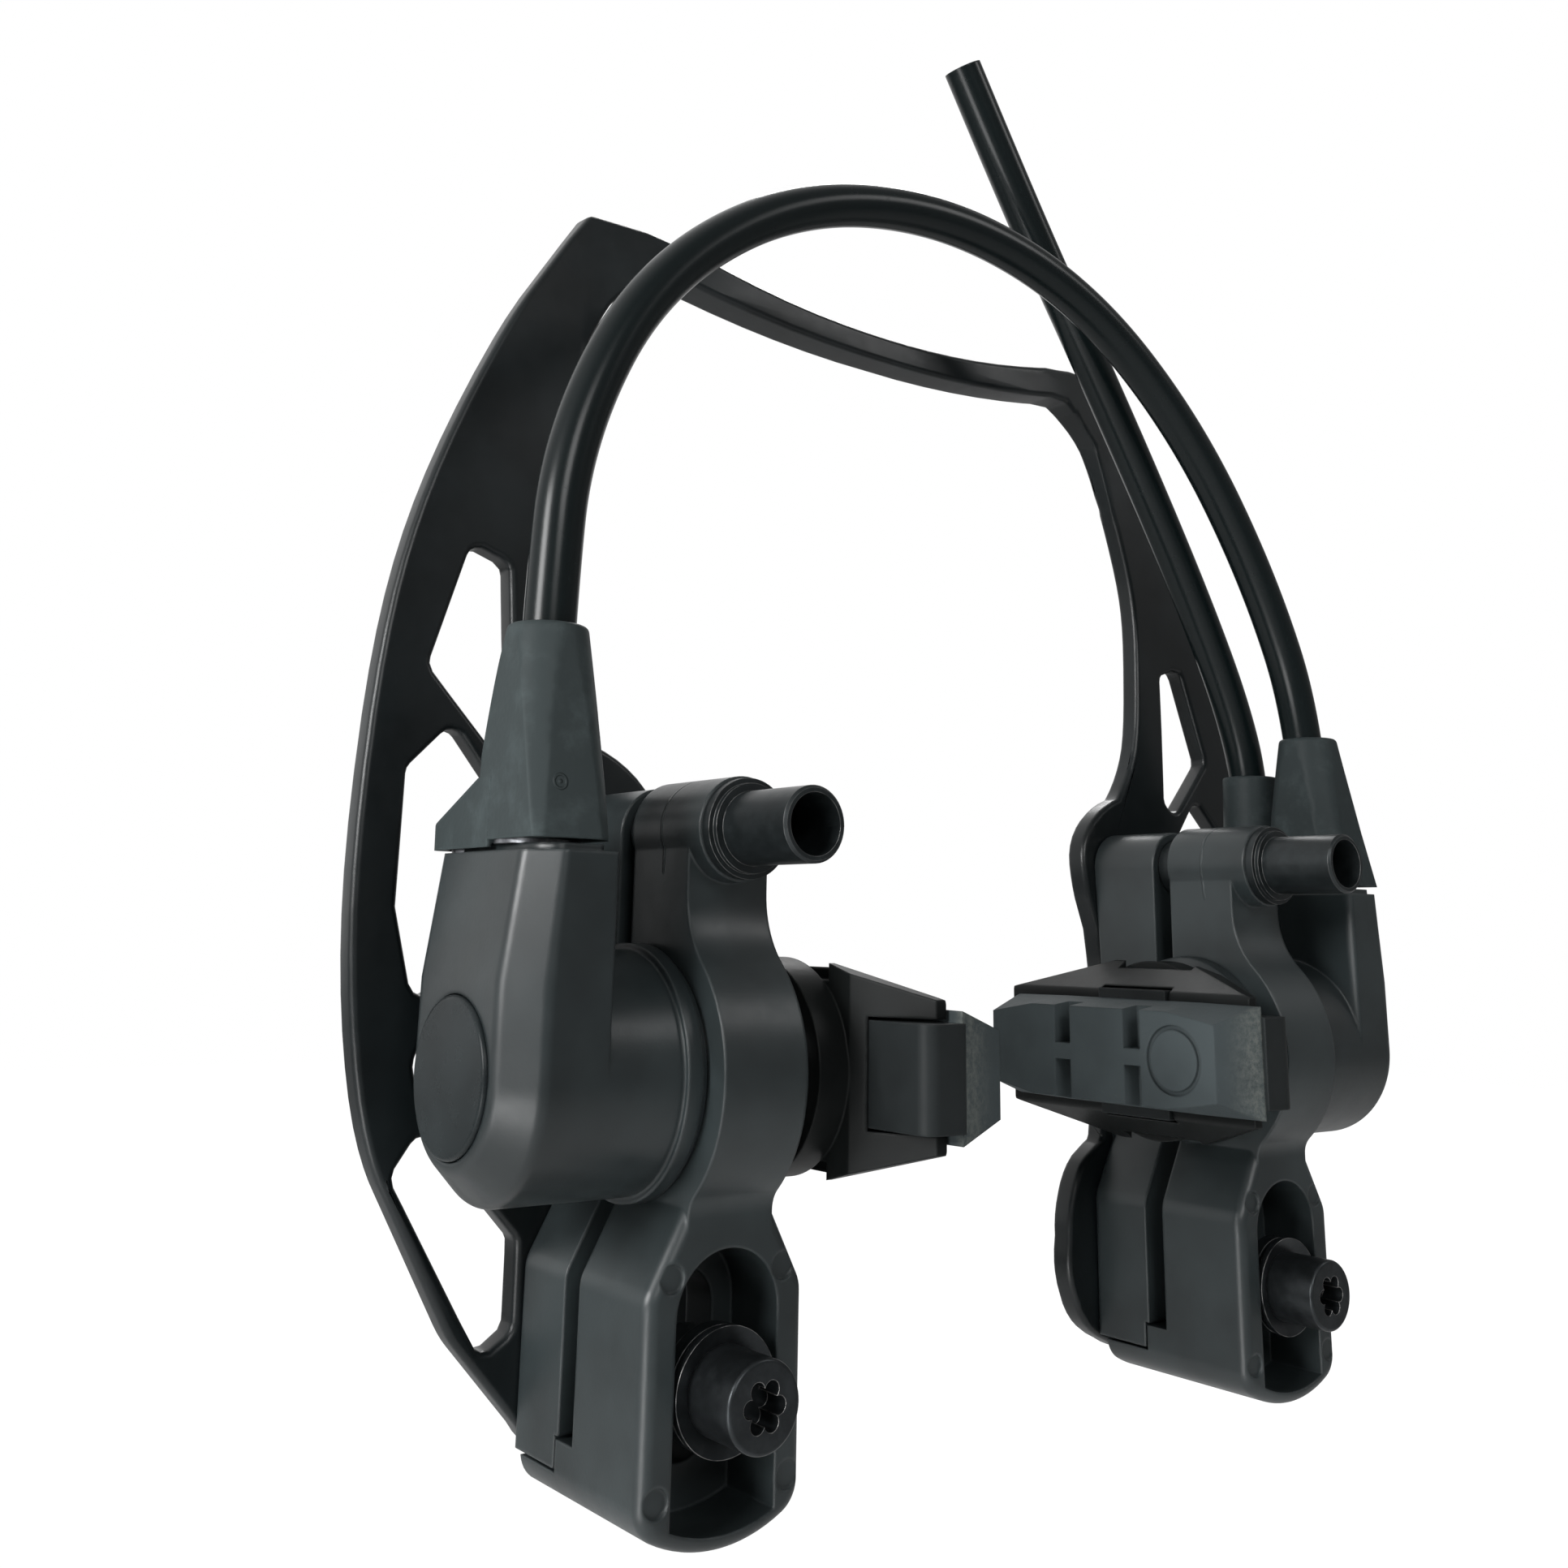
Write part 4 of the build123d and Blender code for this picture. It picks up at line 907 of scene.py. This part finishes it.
@dataclass
class Studio:
    """White backdrop, pale floor and soft lamps."""

    lamps: tuple[Lamp, ...] = (
        Lamp("key", (-1.00, -0.12, 0.34), 0.36, 10.5),
        Lamp("front", (-0.35, -0.95, 0.55), 0.36, 4.0),
        Lamp("fill", (0.80, -0.80, 0.80), 0.34, 1.6),
        Lamp("rim", (0.6, 0.7, 0.9), 0.30, 3.0),
        Lamp("under", (-0.65, -0.22, -0.24), 0.26, 2.2),
    )
    sky: float = 0.2
    bright_way: tuple[float, float, float] = (-0.55, 0.83, 0.0)
    bright_span: tuple[float, float] = (-0.35, 0.35)
    dim: float = 0.25
    floor_z: float = -0.30
    floor_size: float = 8.0
    floor_tone: Colour = (0.9, 0.9, 0.9)
    floor_glow: float = 1.06
    near_glow: float = 0.85
    glow_fade: tuple[float, float] = (0.5, 1.2)

    def build(self) -> None:
        """Make the world, the floor and the lamps."""
        self.make_world()
        self.make_floor()
        for lamp in self.lamps:
            lamp.build()
        bpy.context.scene.view_settings.view_transform = "Standard"

    def make_world(self) -> None:
        """White where it is seen, mirrored brighter from behind than from the front, else a plain grey."""
        world = bpy.data.worlds.new("studio_world")
        bpy.context.scene.world = world
        tree = Tree(world)
        way = tree.node("ShaderNodeTexCoord", out="Generated")
        towards = tree.node("ShaderNodeVectorMath", {"operation": "DOT_PRODUCT"}, way, self.bright_way,
                            out="Value")
        glow = tree.node("ShaderNodeMapRange", None, towards, *self.bright_span, self.dim, 1.0)
        seen = tree.ray("Camera").at_least(tree.ray("Transmission"))
        strength = seen.at_least(tree.ray("Glossy") * glow).at_least(self.sky)
        back = tree.node("ShaderNodeBackground", None, (1.0, 1.0, 1.0), strength)
        tree.node("ShaderNodeOutputWorld", None, back)

    def make_floor(self) -> None:
        """A wide pale floor well below the brake, which hangs from its mount."""
        bpy.ops.object.select_all(action="DESELECT")
        bpy.ops.mesh.primitive_plane_add(size=self.floor_size, location=(0, 0, self.floor_z))
        floor = bpy.context.active_object
        floor.name = "studio_floor"
        material = bpy.data.materials.new("floor_white")
        tree = Tree(material)
        diffuse = tree.node("ShaderNodeBsdfDiffuse", None, self.floor_tone)
        glow = tree.node("ShaderNodeEmission", None, (1.0, 1.0, 1.0), self.floor_glow)
        away = tree.node("ShaderNodeVectorMath", {"operation": "LENGTH"}, tree.place(), out="Value")
        share = self.near_glow + away.ramp(*self.glow_fade) * (1.0 - self.near_glow)
        mixed = tree.node("ShaderNodeMixShader", None, tree.ray("Camera") * share, diffuse, glow)
        tree.node("ShaderNodeOutputMaterial", None, mixed)
        floor.data.materials.append(material)


@dataclass
class PhotoCamera:
    """The camera at the photograph's viewing angle.

    The image and the focal length are in pixels, the sensor and the place in millimetres, and the
    angles in degrees.
    """

    image: float = 1932.0
    focal_pixels: float = 1934.5
    sensor: float = 36.0
    place: tuple[float, float, float] = (-127.42, -146.66, 38.07)
    azimuth: float = 37.04
    elevation: float = 14.44
    roll: float = 1.19
    shift_y: float = -0.16

    def build(self) -> None:
        """Make the camera and set it as the scene's own."""
        data = bpy.data.cameras.new("photo_camera")
        data.sensor_width = self.sensor
        data.lens = self.sensor * self.focal_pixels / self.image
        data.shift_y = self.shift_y
        data.clip_start = 0.01
        data.clip_end = 50.0
        camera = bpy.data.objects.new("photo_camera", data)
        bpy.context.scene.collection.objects.link(camera)
        camera.matrix_world = self.pose()
        bpy.context.scene.camera = camera
        log.info("camera lens %.2f mm", data.lens)

    def pose(self) -> Matrix:
        """The camera's place and turn as one matrix."""
        turn, tilt, roll = (math.radians(a) for a in (self.azimuth, self.elevation, self.roll))
        flat = math.cos(tilt)
        forward = Vector((math.sin(turn) * flat, math.cos(turn) * flat, math.sin(tilt)))
        level = Vector((math.cos(turn), -math.sin(turn), 0.0))
        upright = level.cross(forward)
        right = math.cos(roll) * level + math.sin(roll) * upright
        up = math.cos(roll) * upright - math.sin(roll) * level
        rows = [(right[i], up[i], -forward[i], self.place[i] * MM) for i in range(3)]
        return Matrix([*rows, (0.0, 0.0, 0.0, 1.0)])


def main() -> None:
    """Build and dress everything in order."""
    logging.basicConfig(level=logging.INFO, format="%(name)s %(message)s")
    PhotoCamera().build()
    Hoses().build()
    for side in SIDES:
        for part, finish in NODE_FINISH.items():
            dress(f"{side}_{part}", finish)
    dress("left_bleed_screw", FITTING)
    dress("supply_fitting", FITTING)
    Mouldings().build()
    Studio().build()


if __name__ == "__main__":
    main()
